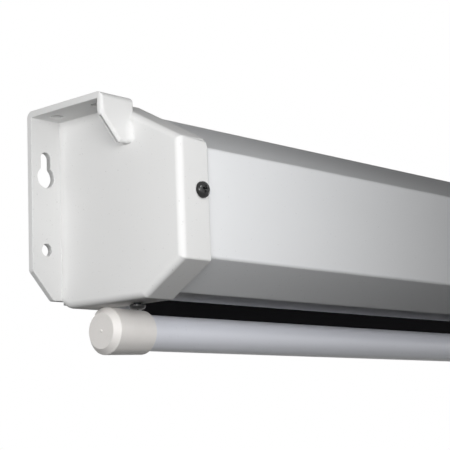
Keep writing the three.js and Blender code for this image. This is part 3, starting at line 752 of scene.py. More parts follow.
class Maker(Tree):
    """A geometry node tree with named inputs."""

    def __init__(self, name, **sizes):
        super().__init__(bpy.data.node_groups.new(name, "GeometryNodeTree"))
        face = self.tree.interface
        face.new_socket("Geometry", in_out="INPUT", socket_type="NodeSocketGeometry")
        self.keys = {}
        for label, kind in sizes.items():
            self.keys[label] = face.new_socket(
                label.replace("_", " ").capitalize(), in_out="INPUT", socket_type=kind
            ).identifier
        face.new_socket("Geometry", in_out="OUTPUT", socket_type="NodeSocketGeometry")
        self.entry = self.tree.nodes.new("NodeGroupInput")
        self.exit = self.tree.nodes.new("NodeGroupOutput")

    def size(self, label):
        """One of the tree's own inputs."""
        index = 1 + list(self.keys).index(label)
        return Link(self, self.entry.outputs[index])

    def given(self):
        """The geometry that the tree starts from."""
        return Link(self, self.entry.outputs[0])

    def done(self, geometry):
        """Makes real, smooths and coats what the tree has built."""
        real = self.node("GeometryNodeRealizeInstances", {}, {"Geometry": geometry})
        smooth = self.node("GeometryNodeSetShadeSmooth", {}, {"Geometry": real})
        coated = self.node(
            "GeometryNodeSetMaterial", {}, {"Geometry": smooth, "Material": self.size("finish")}
        )
        self.tree.links.new(coated.socket, self.exit.inputs[0])

    def swept(self, path, profile):
        """Ends the tree with the profile swept along the path."""
        sweep = {"Curve": path, "Profile Curve": profile, "Fill Caps": True}
        self.done(self.node("GeometryNodeCurveToMesh", {}, sweep))

    def run(self, piece, **values):
        """Runs the tree on the piece and leaves a plain mesh."""
        modifier = piece.modifiers.new("maker", "NODES")
        modifier.node_group = self.tree
        for label, value in values.items():
            modifier[self.keys[label]] = value
        settle(piece)
        return piece


def points_piece(name, points, edges=(), **attributes):
    """A bare mesh of points and edges for a maker to start from."""
    mesh = bpy.data.meshes.new(name)
    mesh.from_pydata([tuple(p) for p in points], list(edges), [])
    for label, values in attributes.items():
        store = mesh.attributes.new(label, "FLOAT_VECTOR", "POINT")
        store.data.foreach_set("vector", [c for value in values for c in value])
    piece = bpy.data.objects.new(name, mesh)
    bpy.context.scene.collection.objects.link(piece)
    return piece


def screw_maker():
    """Sets a screw on each point, turned as the point's "facing" says."""
    maker = Maker("screws_on_points", screw="NodeSocketObject", finish="NodeSocketMaterial")
    shape = maker.node(
        "GeometryNodeObjectInfo", {}, {"Object": maker.size("screw")}, output="Geometry"
    )
    facing = maker.node(
        "GeometryNodeInputNamedAttribute", {"data_type": "FLOAT_VECTOR"}, {"Name": "facing"}
    )
    turn = maker.node("FunctionNodeEulerToRotation", {}, [facing])
    screws = {"Points": maker.given(), "Instance": shape, "Rotation": turn}
    maker.done(maker.node("GeometryNodeInstanceOnPoints", {}, screws))
    return maker


def wire_maker():
    """Bends a wire along the given edges."""
    maker = Maker(
        "wire_along_edges",
        wire="NodeSocketFloat",
        bend="NodeSocketFloat",
        finish="NodeSocketMaterial",
    )
    line = maker.node("GeometryNodeMeshToCurve", {}, {"Mesh": maker.given()})
    bent = maker.node(
        "GeometryNodeFilletCurve",
        {"mode": "POLY"},
        {"Curve": line, "Count": 10, "Radius": maker.size("bend"), "Limit Radius": True},
    )
    ring = maker.node(
        "GeometryNodeCurvePrimitiveCircle",
        {},
        {"Resolution": 24, "Radius": maker.size("wire") * 0.5},
    )
    maker.swept(bent, ring)
    return maker


def roll_maker():
    """Winds cloth into a flat spiral and gives it its width."""
    maker = Maker(
        "cloth_roll",
        turns="NodeSocketFloat",
        inner="NodeSocketFloat",
        outer="NodeSocketFloat",
        width="NodeSocketFloat",
        thickness="NodeSocketFloat",
        finish="NodeSocketMaterial",
    )
    spiral = maker.node(
        "GeometryNodeCurveSpiral",
        {},
        {
            "Resolution": 64,
            "Rotations": maker.size("turns"),
            "Start Radius": maker.size("inner"),
            "End Radius": maker.size("outer"),
            "Height": 0.0,
            "Reverse": False,
        },
    )
    ribbon = maker.node(
        "GeometryNodeCurvePrimitiveQuadrilateral",
        {"mode": "RECTANGLE"},
        {"Width": maker.size("thickness"), "Height": maker.size("width")},
    )
    maker.swept(spiral, ribbon)
    return maker


# Pieces


def end_at():
    """Half the distance between the end plates."""
    return settings("case").plate_to_plate / 2


def case_shell(finish):
    """Folded sheet with two lips at the cloth slot."""
    case = settings("case")
    outer = rounded(section(), [case.bend] * 6)
    inner = rounded(section(-case.sheet, -case.sheet), [case.bend - case.sheet] * 6)
    bottom = -case.height / 2
    near = case.slot_depth - case.slot_width / 2
    far = case.slot_depth + case.slot_width / 2
    lip = bottom + case.lip
    turn_in = case.bend / 2
    hem_far = [(far + turn_in, bottom), (far + turn_in * 0.3, bottom + turn_in * 0.3),
               (far, bottom + turn_in), (far, lip), (far + case.sheet, lip),
               (far + case.sheet, bottom + case.sheet)]
    hem_near = [(near - case.sheet, bottom + case.sheet), (near - case.sheet, lip), (near, lip),
                (near, bottom + turn_in), (near - turn_in * 0.3, bottom + turn_in * 0.3),
                (near - turn_in, bottom)]

    def from_rear(edge):
        """The edge's points in turn, from the rear bottom corner on."""
        start = max(range(len(edge)), key=lambda i: (-round(edge[i].y, 6), edge[i].x))
        return edge[start::-1] + edge[:start:-1]

    sheet = [Vector(p) for p in reversed(hem_far)] + from_rear(outer)
    sheet += [Vector(p) for p in reversed(hem_near)] + from_rear(inner)[::-1]
    end = end_at() - settings("cap").wall - case.end_gap
    hair = 0.02 * MM
    hem = [(hair, bottom + case.bend), (case.sheet, bottom + case.bend),
           (case.sheet, bottom - case.rear_hem), (hair, bottom - case.rear_hem)]
    shell = along_case(sheet, -end, end) + along_case(hem, hair - end, end - hair)
    shell.at_wall = True
    return dressed(shell, "case_shell_sheet", finish, edge=case.edge_break, angle=50)


def cap_plate_and_rim():
    """The end plate with its rounded edge and the rim over the case."""
    cap = settings("cap")
    growth = cap.wall + cap.clearance
    rings = []
    steps = 10
    for k in range(steps + 1):
        angle = math.pi / 2 * k / steps
        less = cap.edge_radius * (1 - math.sin(angle))
        fold = max(cap.fold_radius - less, LEAST_RADIUS)
        heel = cap.heel_radius - less
        outline = rounded(section(growth - less, -less), [0, 0, fold, fold, fold, heel])
        rings.append(place(outline, OUT, UP, ALONG * cap.edge_radius * (1 - math.cos(angle))))
    rings.append([p + ALONG * (cap.reach - cap.edge_radius) for p in rings[-1]])
    body = loft(rings)
    top = settings("case").height / 2 + FAR_OVER
    far = cap.reach + FAR_OVER
    fold = cap.fold_radius / 2
    cavity = rounded(section(cap.clearance, FAR_OVER), [0, 0, fold, fold, fold, 0])
    body -= along_case(cavity, cap.wall, far)
    body -= block((cap.wall, -FAR_OVER, -2 * top), (far, cap.heel_depth, top))
    return body


def rim_corner_cut():
    """Rounds the free corners of the front rim and the upper rim."""
    cap = settings("cap")
    case = settings("case")
    radius = cap.rim_corner
    reach = cap.reach
    outline = arc((reach - radius, -radius), radius, 90, 0, 10)
    outline += [Vector((reach + OVER, -radius)), Vector((reach + OVER, radius))]
    outline += arc((reach - radius, radius), radius, 0, -90, 10)[:-1]
    fold = section(cap.wall + cap.clearance)[2]
    upper = math.atan2(case.front_drop, case.depth - case.top_depth)
    lean = (math.pi / 2 - upper) / 2
    outward = OUT * math.cos(lean) + UP * math.sin(lean)
    upwards = UP * math.cos(lean) - OUT * math.sin(lean)
    origin = OUT * fold[0] + UP * fold[1]
    ring = place(outline, ALONG, upwards, origin)
    depth = cap.wall + cap.clearance
    return run_along(ring, outward, -2 * depth, depth)


def cap_band():
    """The wall ear, the ceiling flange and the gusset."""
    cap = settings("cap")
    top = settings("case").height / 2
    wide = -cap.ear_width
    ear = rounded(
        [
            (wide, top),
            (wide, top - cap.ear_height + cap.ear_cut_height),
            (wide + cap.ear_cut_width, top - cap.ear_height),
            (cap.wall, top - cap.ear_height),
            (cap.wall, top),
        ],
        [0, cap.ear_corner, cap.ear_foot],
    )
    overlap = 0.2 * MM
    reach = cap.ceiling_depth - cap.wall + overlap
    end, step = cap.wall - cap.gusset_corner, settings("case").top_depth + cap.flange_step
    flange = [(wide, 0), (wide, reach), (end, reach), (end, step), (cap.wall, step), (cap.wall, 0)]
    low = top - cap.ear_height - FAR_OVER
    trim = rounded(
        [(0, low), (0, top), (cap.ceiling_depth, top), (cap.ceiling_depth, low)],
        [0, cap.band_radius, cap.band_radius, 0],
        10,
    )
    band = from_wall(ear, 0, cap.wall)
    band += upright(flange, top - cap.wall, top)
    band += gusset(wide, top)
    band &= along_case(trim, wide - FAR_OVER, cap.wall + FAR_OVER)
    hidden = 0.3 * MM
    under = section(cap.wall + cap.clearance - cap.edge_radius - hidden)
    band += gusset_root(top) & along_case(under, wide, cap.wall)
    return band


def gusset_root(top):
    """The hollow radius between gusset and plate, which runs out towards the plate's edge."""
    cap = settings("cap")
    case = settings("case")
    slope = case.front_drop / (case.depth - case.top_depth)
    edge = top - slope * (cap.ceiling_depth - case.top_depth)
    tip = top - cap.gusset_height
    nose = cap.gusset_nose
    rows = []
    for k in range(1, 4):
        angle = math.pi / 2 * k / 4
        rows.append((tip + nose * (1 - math.cos(angle)), nose * (1 - math.sin(angle)), 0.3 * k))
    for rise, share in ((nose / (edge - tip), 1), (0.5, 1), (0.8, 0.7), (1, 0.1)):
        rows.append((tip + (edge - tip) * rise, 0, share))
    overlap = 1 * MM
    side = -cap.gusset_fillet - 0.2 * overlap
    far = cap.ceiling_depth + cap.gusset_fillet + overlap
    rings = []
    for level, back, share in rows:
        front = cap.ceiling_depth - back
        corners = [(cap.wall, front - overlap), (side, front - overlap), (side, front), (0, front),
                   (0, far), (cap.wall, far)]
        outline = rounded(corners, [0, 0, 0, cap.gusset_fillet * share], 10)
        rings.append(place(outline, ALONG, OUT, UP * level))
    return loft(rings)


def gusset(wide, top):
    """The gusset with its rounded nose and the undercut behind it."""
    cap = settings("cap")
    corners = [
        (wide, top),
        (wide, top - cap.gusset_edge),
        (-cap.gusset_tip, top - cap.gusset_height),
        (cap.wall, top - cap.gusset_height),
        (cap.wall, top),
    ]
    radii = [0, cap.gusset_corner * 2, cap.gusset_point, 0, cap.gusset_corner]
    steps = 8
    rings = [place(rounded(corners, radii), ALONG, UP, OUT * (cap.ceiling_depth - cap.wall))]
    for k in range(steps + 1):
        angle = math.pi / 2 * k / steps
        shrink = cap.gusset_nose * (1 - math.cos(angle))
        depth = cap.ceiling_depth - cap.gusset_nose * (1 - math.sin(angle))
        smaller = [max(r - shrink, LEAST_RADIUS) if r else 0 for r in radii]
        rings.append(place(rounded(inset(corners, shrink), smaller), ALONG, UP, OUT * depth))
    return loft(rings)


def gusset_undercut(wide, top):
    """What is hollowed out behind the nose of the gusset's slanting edge."""
    cap = settings("cap")
    tip, foot = -cap.gusset_tip, top - cap.gusset_height
    past, width, rise = 1 * MM, 3 * MM, 2.5 * MM
    start = top - cap.gusset_edge - past
    edge = [
        (wide, start),
        (tip, foot - past),
        (tip + width, foot - past),
        (tip + width, foot + rise),
        (tip + past, foot + rise + past),
        (wide + cap.undercut_depth, start),
    ]
    near = cap.ceiling_depth - cap.wall + cap.undercut_back
    return from_wall(edge, near, near + cap.undercut)


def keyhole():
    """The keyhole's outline in the ear."""
    cap = settings("cap")
    level = settings("case").height / 2 - cap.key_drop
    lean = math.degrees(math.asin(cap.hole / cap.key_head))
    slot = arc((-cap.hole_inset, level + cap.key_rise), cap.hole / 2, 0, 180, 20)
    return slot + arc((-cap.hole_inset, level), cap.key_head / 2, 90 + lean, 450 - lean, 40)


def end_cap(finish):
    """The left end cap, with X = 0 on the outer face of its plate until it is put in place."""
    cap = settings("cap")
    cloth = settings("cloth")
    screw = settings("screw")
    top = settings("case").height / 2
    body = cap_plate_and_rim()
    body += cap_band()
    body -= rim_corner_cut()
    lower = circle((-cap.hole_inset, top - cap.lower_hole_drop), cap.hole)
    for hole in (keyhole(), lower):
        body -= from_wall(hole, -OVER, cap.wall + OVER)
    for depth in (cap.rear_hole_depth, cap.front_hole_depth):
        hole = circle((-cap.hole_inset, depth), cap.hole)
        body -= upright(hole, top - cap.wall - OVER, top + OVER)
    bore = screw.shank + screw.play
    front = circle((screw.from_plate, top - screw.front_drop), bore, 32)
    depth = settings("case").depth
    body -= from_wall(front, depth - OVER, depth + cap.wall + cap.clearance + OVER)
    below = circle((screw.from_plate, screw.bottom_depth), bore, 32)
    body -= upright(below, -top - cap.wall - cap.clearance - OVER, -top + OVER)
    level = top - cloth.roll_drop
    sunk = 1 * MM
    for across in (-cap.post_spread, cap.post_spread):
        for rise in (-cap.post_rise, cap.post_rise):
            post = circle((cloth.roll_depth + across, level + rise), cap.post, 32)
            body += along_case(post, cap.wall - sunk, cap.wall + cap.post_height)
    body.at_wall = True
    return dressed(
        body,
        "left_end_cap_shell",
        finish,
        edge=cap.edge_break,
        offset=ALONG * -end_at(),
        late=gusset_undercut(-cap.ear_width, top),
    )


def pan_head(height, radius):
    """Half the outline of a domed head, from its seat to its middle."""
    flank_share = 0.22
    rows = [(0.0, radius), (height * flank_share, radius)]
    for k in range(1, 12):
        angle = math.pi / 2 * k / 12
        rise = flank_share + (1 - flank_share) * math.sin(angle) ** 0.9
        rows.append((height * rise, radius * math.cos(angle) ** 0.62))
    rows.append((height, radius * 0.02))
    return rows


def screw_shape(shank, reach, head, head_height, span, slot, depth):
    """A pan-head screw with a cross recess along X, its seat at X = 0."""
    point, lift = 1.2 * MM, 0.2 * MM
    shaft = [(-reach, shank * 0.3), (-reach + point, shank / 2), (0, shank / 2)]
    body = turned(shaft + pan_head(head_height, head / 2), 48)
    wide = [(x * span / 2, y * slot / 2) for x, y in ((-1, -1), (1, -1), (1, 1), (-1, 1))]
    floor = [(x * 0.42, y * 0.55) for x, y in wide]
    for turn in (0, 90):
        top = place(wide, OUT, UP, ALONG * (head_height + lift))
        low = place(floor, OUT, UP, ALONG * (head_height - depth))
        body -= spun(loft([low, top]), turn)
    return body


def screws_at(name, spots, facing, template, finish):
    """Copies of the template on the spots. The template itself is used up."""
    screws = points_piece(name, spots, facing=facing)
    screw_maker().run(screws, screw=template, finish=finish)
    bpy.data.objects.remove(template)
    return screws


def cap_screws(finish):
    """The four screws that hold the end caps."""
    screw = settings("screw")
    cap = settings("cap")
    case = settings("case")
    top = case.height / 2
    growth = cap.wall + cap.clearance + settings("bar").fit
    template = dressed(
        screw_shape(
            screw.shank, screw.reach, screw.head, screw.head_height,
            screw.recess_span, screw.recess_slot, screw.recess_depth,
        ),
        "screw_template",
        finish,
        edge=screw.edge_break,
        angle=40,
    )
    points, facing = [], []
    for side in (-1, 1):
        across = side * (end_at() - screw.from_plate)
        points.append((across, -case.depth - growth, top - screw.front_drop))
        facing.append((math.radians(20 + 30 * side), 0, math.radians(-90)))
        points.append((across, -screw.bottom_depth, -top - growth - screw.stand_off))
        facing.append((math.radians(45), math.radians(90), 0))
    return screws_at("end_cap_screws", points, facing, template, finish)


def saddle_screws(finish):
    """The two small screws that hold the handle's saddle."""
    handle = settings("handle")
    bar = settings("bar")
    template = dressed(
        screw_shape(
            handle.screw_shank, handle.screw_reach, handle.screw_head, handle.screw_head_height,
            handle.screw_head * 0.55, handle.screw_slot, handle.screw_recess,
        ),
        "screw_template",
        finish,
        edge=settings("screw").edge_break / 2,
        angle=40,
    )
    level = settings("case").height / 2 - bar.axis_drop
    seat = bar.diameter / 2 + 2 * bar.fit + handle.saddle_sheet
    spots = [
        (side * handle.screw_spread / 2, -settings("case").slot_depth, level - seat)
        for side in (-1, 1)
    ]
    facing = [(math.radians(30 + 25 * k), math.radians(90), 0) for k in range(2)]
    return screws_at("handle_saddle_screws", spots, facing, template, finish)


def bar_axis():
    """A point on the bottom bar's axis."""
    case = settings("case")
    return OUT * case.slot_depth + UP * (case.height / 2 - settings("bar").axis_drop)


def bar_tube(finish):
    """The bottom bar: a tube with a groove along its top for the cloth."""
    bar = settings("bar")
    outer = bar.diameter / 2
    inner = outer - bar.wall
    groove = bar.groove / 2
    outside = math.degrees(math.asin(groove / outer))
    inside = math.degrees(math.asin(groove / inner))
    profile = arc((0, 0), outer, 90 + outside, 450 - outside, 120)
    profile += arc((0, 0), inner, 450 - inside, 90 + inside, 96)
    end = end_at() - bar.from_plate - bar.cap_floor - bar.fit
    ring = place(profile, OUT, UP, bar_axis() + UP * bar.lift)
    tube = run_along(ring, ALONG, -end, end)
    return dressed(tube, "bottom_bar_tube", finish, edge=bar.edge_break, angle=50)


def bar_cap(finish):
    """The moulded cap on the left end of the bottom bar."""
    bar = settings("bar")
    face, rim, root = bar.cap_face / 2, bar.cap_diameter / 2, bar.cap_root / 2
    bore = bar.diameter / 2 + bar.fit
    edge, blunt = bar.cap_edge, 0.2 * MM
    start, shoulder = bar.from_plate, bar.from_plate + bar.cap_chamfer
    end = bar.from_plate + bar.cap_length
    corner = rounded(
        [(start, 0), (start, face), (shoulder, rim), (end, root), (end, bore),
         (start + bar.cap_floor, bore), (start + bar.cap_floor, 0)],
        [0, edge, edge, edge * 0.6, blunt, 0, 0],
        6,
    )
    # The mark of the mould's gate, as (place along, radius) in millimetres
    gate = [(-0.25, 0.15), (-0.25, 0.5), (-0.1, 0.75), (0.15, 0.95), (0.15, 1.3), (0, 1.6)]
    profile = [(start + x * MM, radius * MM) for x, radius in gate]
    profile += [tuple(p) for p in corner[1:-1]]
    profile.append((start + bar.cap_floor, blunt))
    cup = turned(profile, 96)
    spot = bar_axis() + UP * bar.lift - ALONG * end_at()
    return dressed(cup, "left_bar_cap_moulding", finish, angle=60, offset=spot)


def handle_saddle(finish):
    """The cradle under the bar with two ears for the handle."""
    bar = settings("bar")
    handle = settings("handle")
    end = handle.saddle_length / 2
    bore = bar.diameter / 2 + bar.fit
    outer = bore + handle.saddle_sheet
    cradle = arc((0, 0), outer, 180, 360, 48) + arc((0, 0), bore, 360, 180, 48)
    body = along_case(cradle, -end, end)
    nose = handle.ear_width / 2
    # The ears stand a hair inside the cradle's ends, so that their faces don't coincide
    hair, slack = 0.1 * MM, 0.4 * MM
    ear_top = -bore * 0.6
    for start in (hair - end, end - handle.ear_sheet - hair):
        ear = [Vector((nose, ear_top)), Vector((-nose, ear_top))]
        ear += arc((0, -handle.pivot_drop), nose, 180, 360, 24)
        lug = along_case(ear, start, start + handle.ear_sheet)
        lug -= along_case(circle((0, 0), 2 * bore + slack, 96), -2 * end, 2 * end)
        body += lug
    eye = circle((0, -handle.pivot_drop), handle.wire + handle.play, 32)
    body -= along_case(eye, -2 * end, 2 * end)
    return dressed(body, "handle_saddle", finish, edge=handle.edge_break, offset=bar_axis())


def pull_handle(finish):
    """The wire handle that hangs in the saddle's ears."""
    handle = settings("handle")
    pivot = bar_axis() - UP * handle.pivot_drop
    inner = handle.saddle_length / 2 - handle.ear_sheet - handle.stub
    outer, drop = handle.width / 2, handle.height
    corners = [(-inner, 0), (-outer, 0), (-outer, drop), (outer, drop), (outer, 0), (inner, 0)]
    points = [pivot + ALONG * x - UP * z for x, z in corners]
    wire = points_piece("pull_handle_wire", points, [(k, k + 1) for k in range(5)])
    return wire_maker().run(wire, wire=handle.wire, bend=handle.bend, finish=finish)


def cloth_levels():
    """The cloth's rows from the roll to the bar, and the heights between which it stretches.

    Each row is its height and its real distance from the cloth's lower edge.
    """
    case, cloth, bar = settings("case"), settings("cloth"), settings("bar")
    top = case.height / 2 - cloth.roll_drop
    low = case.height / 2 - bar.axis_drop + bar.diameter / 2 - bar.wall
    fixed = -case.height / 2 + cloth.hold
    rows = []
    steps, hem_steps = 60, 6
    for k in range(steps + 1):
        fraction = k / steps
        travelled = fraction * fraction * (3 - 2 * fraction)
        height = top + (fixed - top) * fraction
        rows.append((height, height - low + cloth.travel * (1 - travelled)))
    for k in range(1, hem_steps + 1):
        rows.append((fixed + (low - fixed) * k / hem_steps, (fixed - low) * (1 - k / hem_steps)))
    return rows, top, fixed


def cloth_drop(finish):
    """The cloth between the roll and the bar, two faces with their edges closed."""
    cloth = settings("cloth")
    rows = cloth_levels()[0]
    half = end_at() - cloth.from_plate
    view = cloth.view_width / 2
    seam = 0.5 * MM
    columns = [-half, -view - seam, -view + seam, 0, view - seam, view + seam, half]
    middle = settings("case").slot_depth
    shape = bmesh.new()
    level = shape.verts.layers.float.new("cloth_level")
    front = shape.verts.layers.float.new("cloth_front")
    layers = []
    for side in (1, -1):
        grid = []
        for height, distance in rows:
            line = []
            for x in columns:
                depth = middle + side * cloth.thickness / 2
                vert = shape.verts.new(ALONG * x + OUT * depth + UP * height)
                vert[level], vert[front] = distance, 1.0 if side > 0 else 0.0
                line.append(vert)
            grid.append(line)
        layers.append(grid)
    for grid in layers:
        for row, following in zip(grid, grid[1:]):
            for k in range(len(columns) - 1):
                shape.faces.new((row[k], row[k + 1], following[k + 1], following[k]))
    rims = []
    for grid in layers:
        rim = grid[0] + [line[-1] for line in grid[1:]] + grid[-1][-2::-1]
        rims.append(rim + [line[0] for line in grid[-2:0:-1]])
    fore, rear = rims
    for k in range(len(fore)):
        after = (k + 1) % len(fore)
        shape.faces.new((fore[k], rear[k], rear[after], fore[after]))
    piece = Solid(shape).piece
    piece.name = piece.data.name = "cloth_drop"
    piece.data.materials.append(finish)
    return piece


def cloth_roll(finish):
    """The cloth wound on the roller tube, a spiral that ends where the drop starts."""
    cloth = settings("cloth")
    piece = points_piece("cloth_roll", [(0, 0, 0)])
    roll_maker().run(
        piece,
        turns=cloth.turns,
        inner=cloth.roll_inner,
        outer=cloth.roll_outer,
        width=2 * (end_at() - cloth.from_plate),
        thickness=cloth.thickness * 0.75,
        finish=finish,
    )
    level = settings("case").height / 2 - cloth.roll_drop
    turn = Matrix.Rotation(-2 * math.pi * cloth.turns, 4, "Z")
    stand = Matrix((OUT * -1, UP, ALONG)).transposed().to_4x4()
    piece.data.transform(
        Matrix.Translation(OUT * cloth.roll_depth + UP * level) @ stand @ turn
    )
    return piece


# Operators


class SCREEN_OT_case(Operator):
    """Folds the case's sheet round the roller."""

    bl_idname = "screen.case"
    bl_label = "Case"

    def execute(self, context):
        paint = paint_finish("case_paint", settings("finish").case_paint, 0.72, 0.022 * MM, 0.0)
        shell = case_shell(paint)
        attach(shell, "case")
        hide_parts("case_shell")
        return {"FINISHED"}


class SCREEN_OT_end_caps(Operator):
    """Makes both end caps with wall ear, ceiling flange and gusset."""

    bl_idname = "screen.end_caps"
    bl_label = "End caps"

    def execute(self, context):
        paint = paint_finish("cap_paint", settings("finish").cap_paint, 0.64, 0.03 * MM, 0.03)
        left = end_cap(paint)
        right = mirrored(left, "right_end_cap_shell")
        for piece, node in ((left, "left_end_cap"), (right, "right_end_cap")):
            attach(piece, "case")
            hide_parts(node)
        return {"FINISHED"}


class SCREEN_OT_screws(Operator):
    """Sets the four screws of the end caps."""

    bl_idname = "screen.screws"
    bl_label = "Screws"

    def execute(self, context):
        colours = settings("finish")
        black = paint_finish("blackened_steel", colours.screw_metal, 0.2, 0.004 * MM, 0.2)
        screws = cap_screws(black)
        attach(screws, "case")
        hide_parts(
            "left_front_screw", "left_bottom_screw", "right_front_screw", "right_bottom_screw"
        )
        return {"FINISHED"}


class SCREEN_OT_bar(Operator):
    """Makes the bottom bar and its two caps."""

    bl_idname = "screen.bar"
    bl_label = "Bottom bar"

    def execute(self, context):
        colours = settings("finish")
        tube = bar_tube(paint_finish("bar_paint", colours.bar_paint, 0.36, 0.008 * MM, 0.5))
        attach(tube, "bar")
        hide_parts("bar_tube")
        left = bar_cap(moulded_finish("bar_cap_plastic", colours.bar_cap, 0.45))
        right = mirrored(left, "right_bar_cap_moulding")
        for piece, node in ((left, "left_bar_cap"), (right, "right_bar_cap")):
            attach(piece, "bar")
            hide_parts(node)
        return {"FINISHED"}


class SCREEN_OT_cloth(Operator):
    """Winds the cloth and hangs its end down to the bar."""

    bl_idname = "screen.cloth"
    bl_label = "Cloth"

    def execute(self, context):
        colours = settings("finish")
        cloth = settings("cloth")
        weave = cloth_finish("screen_weave", colours.black_cloth, colours.white_cloth)
        drop = cloth_drop(weave)
        rows, top, fixed = cloth_levels()
        depth = settings("case").slot_depth
        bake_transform(drop)
        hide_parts("screen_fabric")
        width = 2 * (end_at() - cloth.from_plate)
        rows[0][0] - rows[-1][0]
        roll = cloth_roll(weave)
        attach(roll, "roller")
        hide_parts("wound_fabric")
        return {"FINISHED"}


class SCREEN_OT_handle(Operator):
    """Makes the pull handle and its saddle."""

    bl_idname = "screen.handle"
    bl_label = "Pull handle"

    def execute(self, context):
        colours = settings("finish")
        nickel = metal_finish("bright_nickel", colours.nickel, 0.22)
        paint = paint_finish("saddle_paint", colours.case_paint, 0.5, 0.02 * MM, 0.3)
        saddle = handle_saddle(paint)
        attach(saddle, "bar")
        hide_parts("bail_saddle")
        screws = saddle_screws(nickel)
        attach(screws, "bar")
        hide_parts("saddle_screw_1", "saddle_screw_2")
        wire = pull_handle(nickel)
        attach(wire, "bail")
        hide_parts("pull_bail")
        return {"FINISHED"}


class SCREEN_OT_roller(Operator):
    """Finishes the roller, its spring motor and its brackets."""

    bl_idname = "screen.roller"
    bl_label = "Roller and spring"

    def execute(self, context):
        colours = settings("finish")
        zinc = metal_finish("zinc_plate", colours.zinc, 0.38, grain=(20.0, 1, 1), worn=0.5)
        dark = moulded_finish("dark_plastic", colours.dark_plastic, 0.5)
        finishes = {
            zinc: ["left_roller_bracket", "right_roller_bracket", "spring_spindle", "ratchet_wheel",
                   "roller_tube", "rear_pawl", "front_pawl", "rear_pawl_pin", "front_pawl_pin"]
            + [f"{side}_bracket_screw_{k}" for side in ("left", "right") for k in range(1, 5)],
            dark: ["spring_end_plug", "spring_anchor_plug", "idle_end_plug"],
            metal_finish("bright_pin", colours.nickel, 0.25, grain=(20.0, 1, 1)): ["idle_pin"],
            metal_finish("spring_steel", colours.spring_steel, 0.35, grain=(1, 20.0, 20.0)):
                ["torsion_spring"],
            moulded_finish("nylon", colours.nylon, 0.45): ["idle_bush"],
            moulded_finish("hem_plastic", colours.bar_cap, 0.5): ["hem_rod"],
            wood_finish("turned_beech", colours.beech): ["spring_core"],
        }
        for finish, nodes in finishes.items():
            for node in nodes:
                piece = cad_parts[node]
                piece.data.materials.clear()
                piece.data.materials.append(finish)
        return {"FINISHED"}


LAMPS = (
    # name, place, aim, size, watts, spread in degrees
    ("near_front", (-0.80, -0.36, 0.04), (-0.80, -0.07, 0.0), 0.25, 0.30, 180),
    ("near_corner", (-0.95, -0.36, 0.02), (-0.80, -0.07, 0.0), 0.25, 0.24, 180),
    ("near_left", (-1.10, -0.36, 0.0), (-0.80, -0.07, 0.0), 0.25, 0.82, 180),
    ("low_left", (-0.95, -0.60, -0.05), (-0.80, -0.07, 0.0), 0.25, 0.12, 180),
    ("front_left", (-1.10, -0.60, 0.03), (-0.80, -0.07, 0.0), 0.25, 0.33, 180),
    ("left", (-1.70, -0.05, 0.05), (-0.80, -0.07, 0.0), 0.35, 3.6, 180),
    ("middle", (0.15, -0.90, 0.05), (0.15, 0.0, 0.0), 0.4, 0.8, 90),
    ("right", (0.85, -0.90, 0.05), (0.85, 0.0, 0.0), 0.4, 0.6, 90),
    ("right_end", (1.75, -0.35, 0.10), (0.84, -0.05, 0.0), 0.5, 4.8, 180),
    ("above", (0.30, -0.20, 0.90), (0.30, -0.04, 0.05), 0.5, 0.9, 80),
    ("behind_left", (-0.5, 1.0, 0.40), (-0.5, 0.0, 0.0), 0.6, 3.4, 110),
    ("behind_right", (0.5, 1.0, 0.40), (0.5, 0.0, 0.0), 0.6, 3.4, 110),
    ("below", (0.50, -0.60, -0.8), (0.50, -0.05, -0.06), 0.4, 0.55, 70),
    ("cloth", (0.0, -3.0, -0.90), (0.0, 0.0, -0.90), 1.5, 52, 180),
    ("bar", (-1.05, -0.72, 0.3), (-0.75, -0.024, -0.072), 0.3, 2.2, 180),
    ("glint_left", (-1.35, -0.40, 0.0), (-0.82, -0.09, 0.0), 0.1, 2.5, 180),
    ("glint_above", (-0.95, -0.70, 0.35), (-0.82, -0.09, 0.0), 0.1, 2.5, 180),
    ("floor", (0.0, 0.0, 2.0), (0.0, 0.0, 0.0), 0.0, 3.2, 0),
)

# Lamps that light some pieces only
LIT = {
    "bar": ("bottom_bar_tube", "left_bar_cap_moulding"),
    "cloth": ("cloth_drop",),
    "glint_left": ("end_cap_screws",),
    "glint_above": ("end_cap_screws",),
    "floor": ("studio_floor",),
}


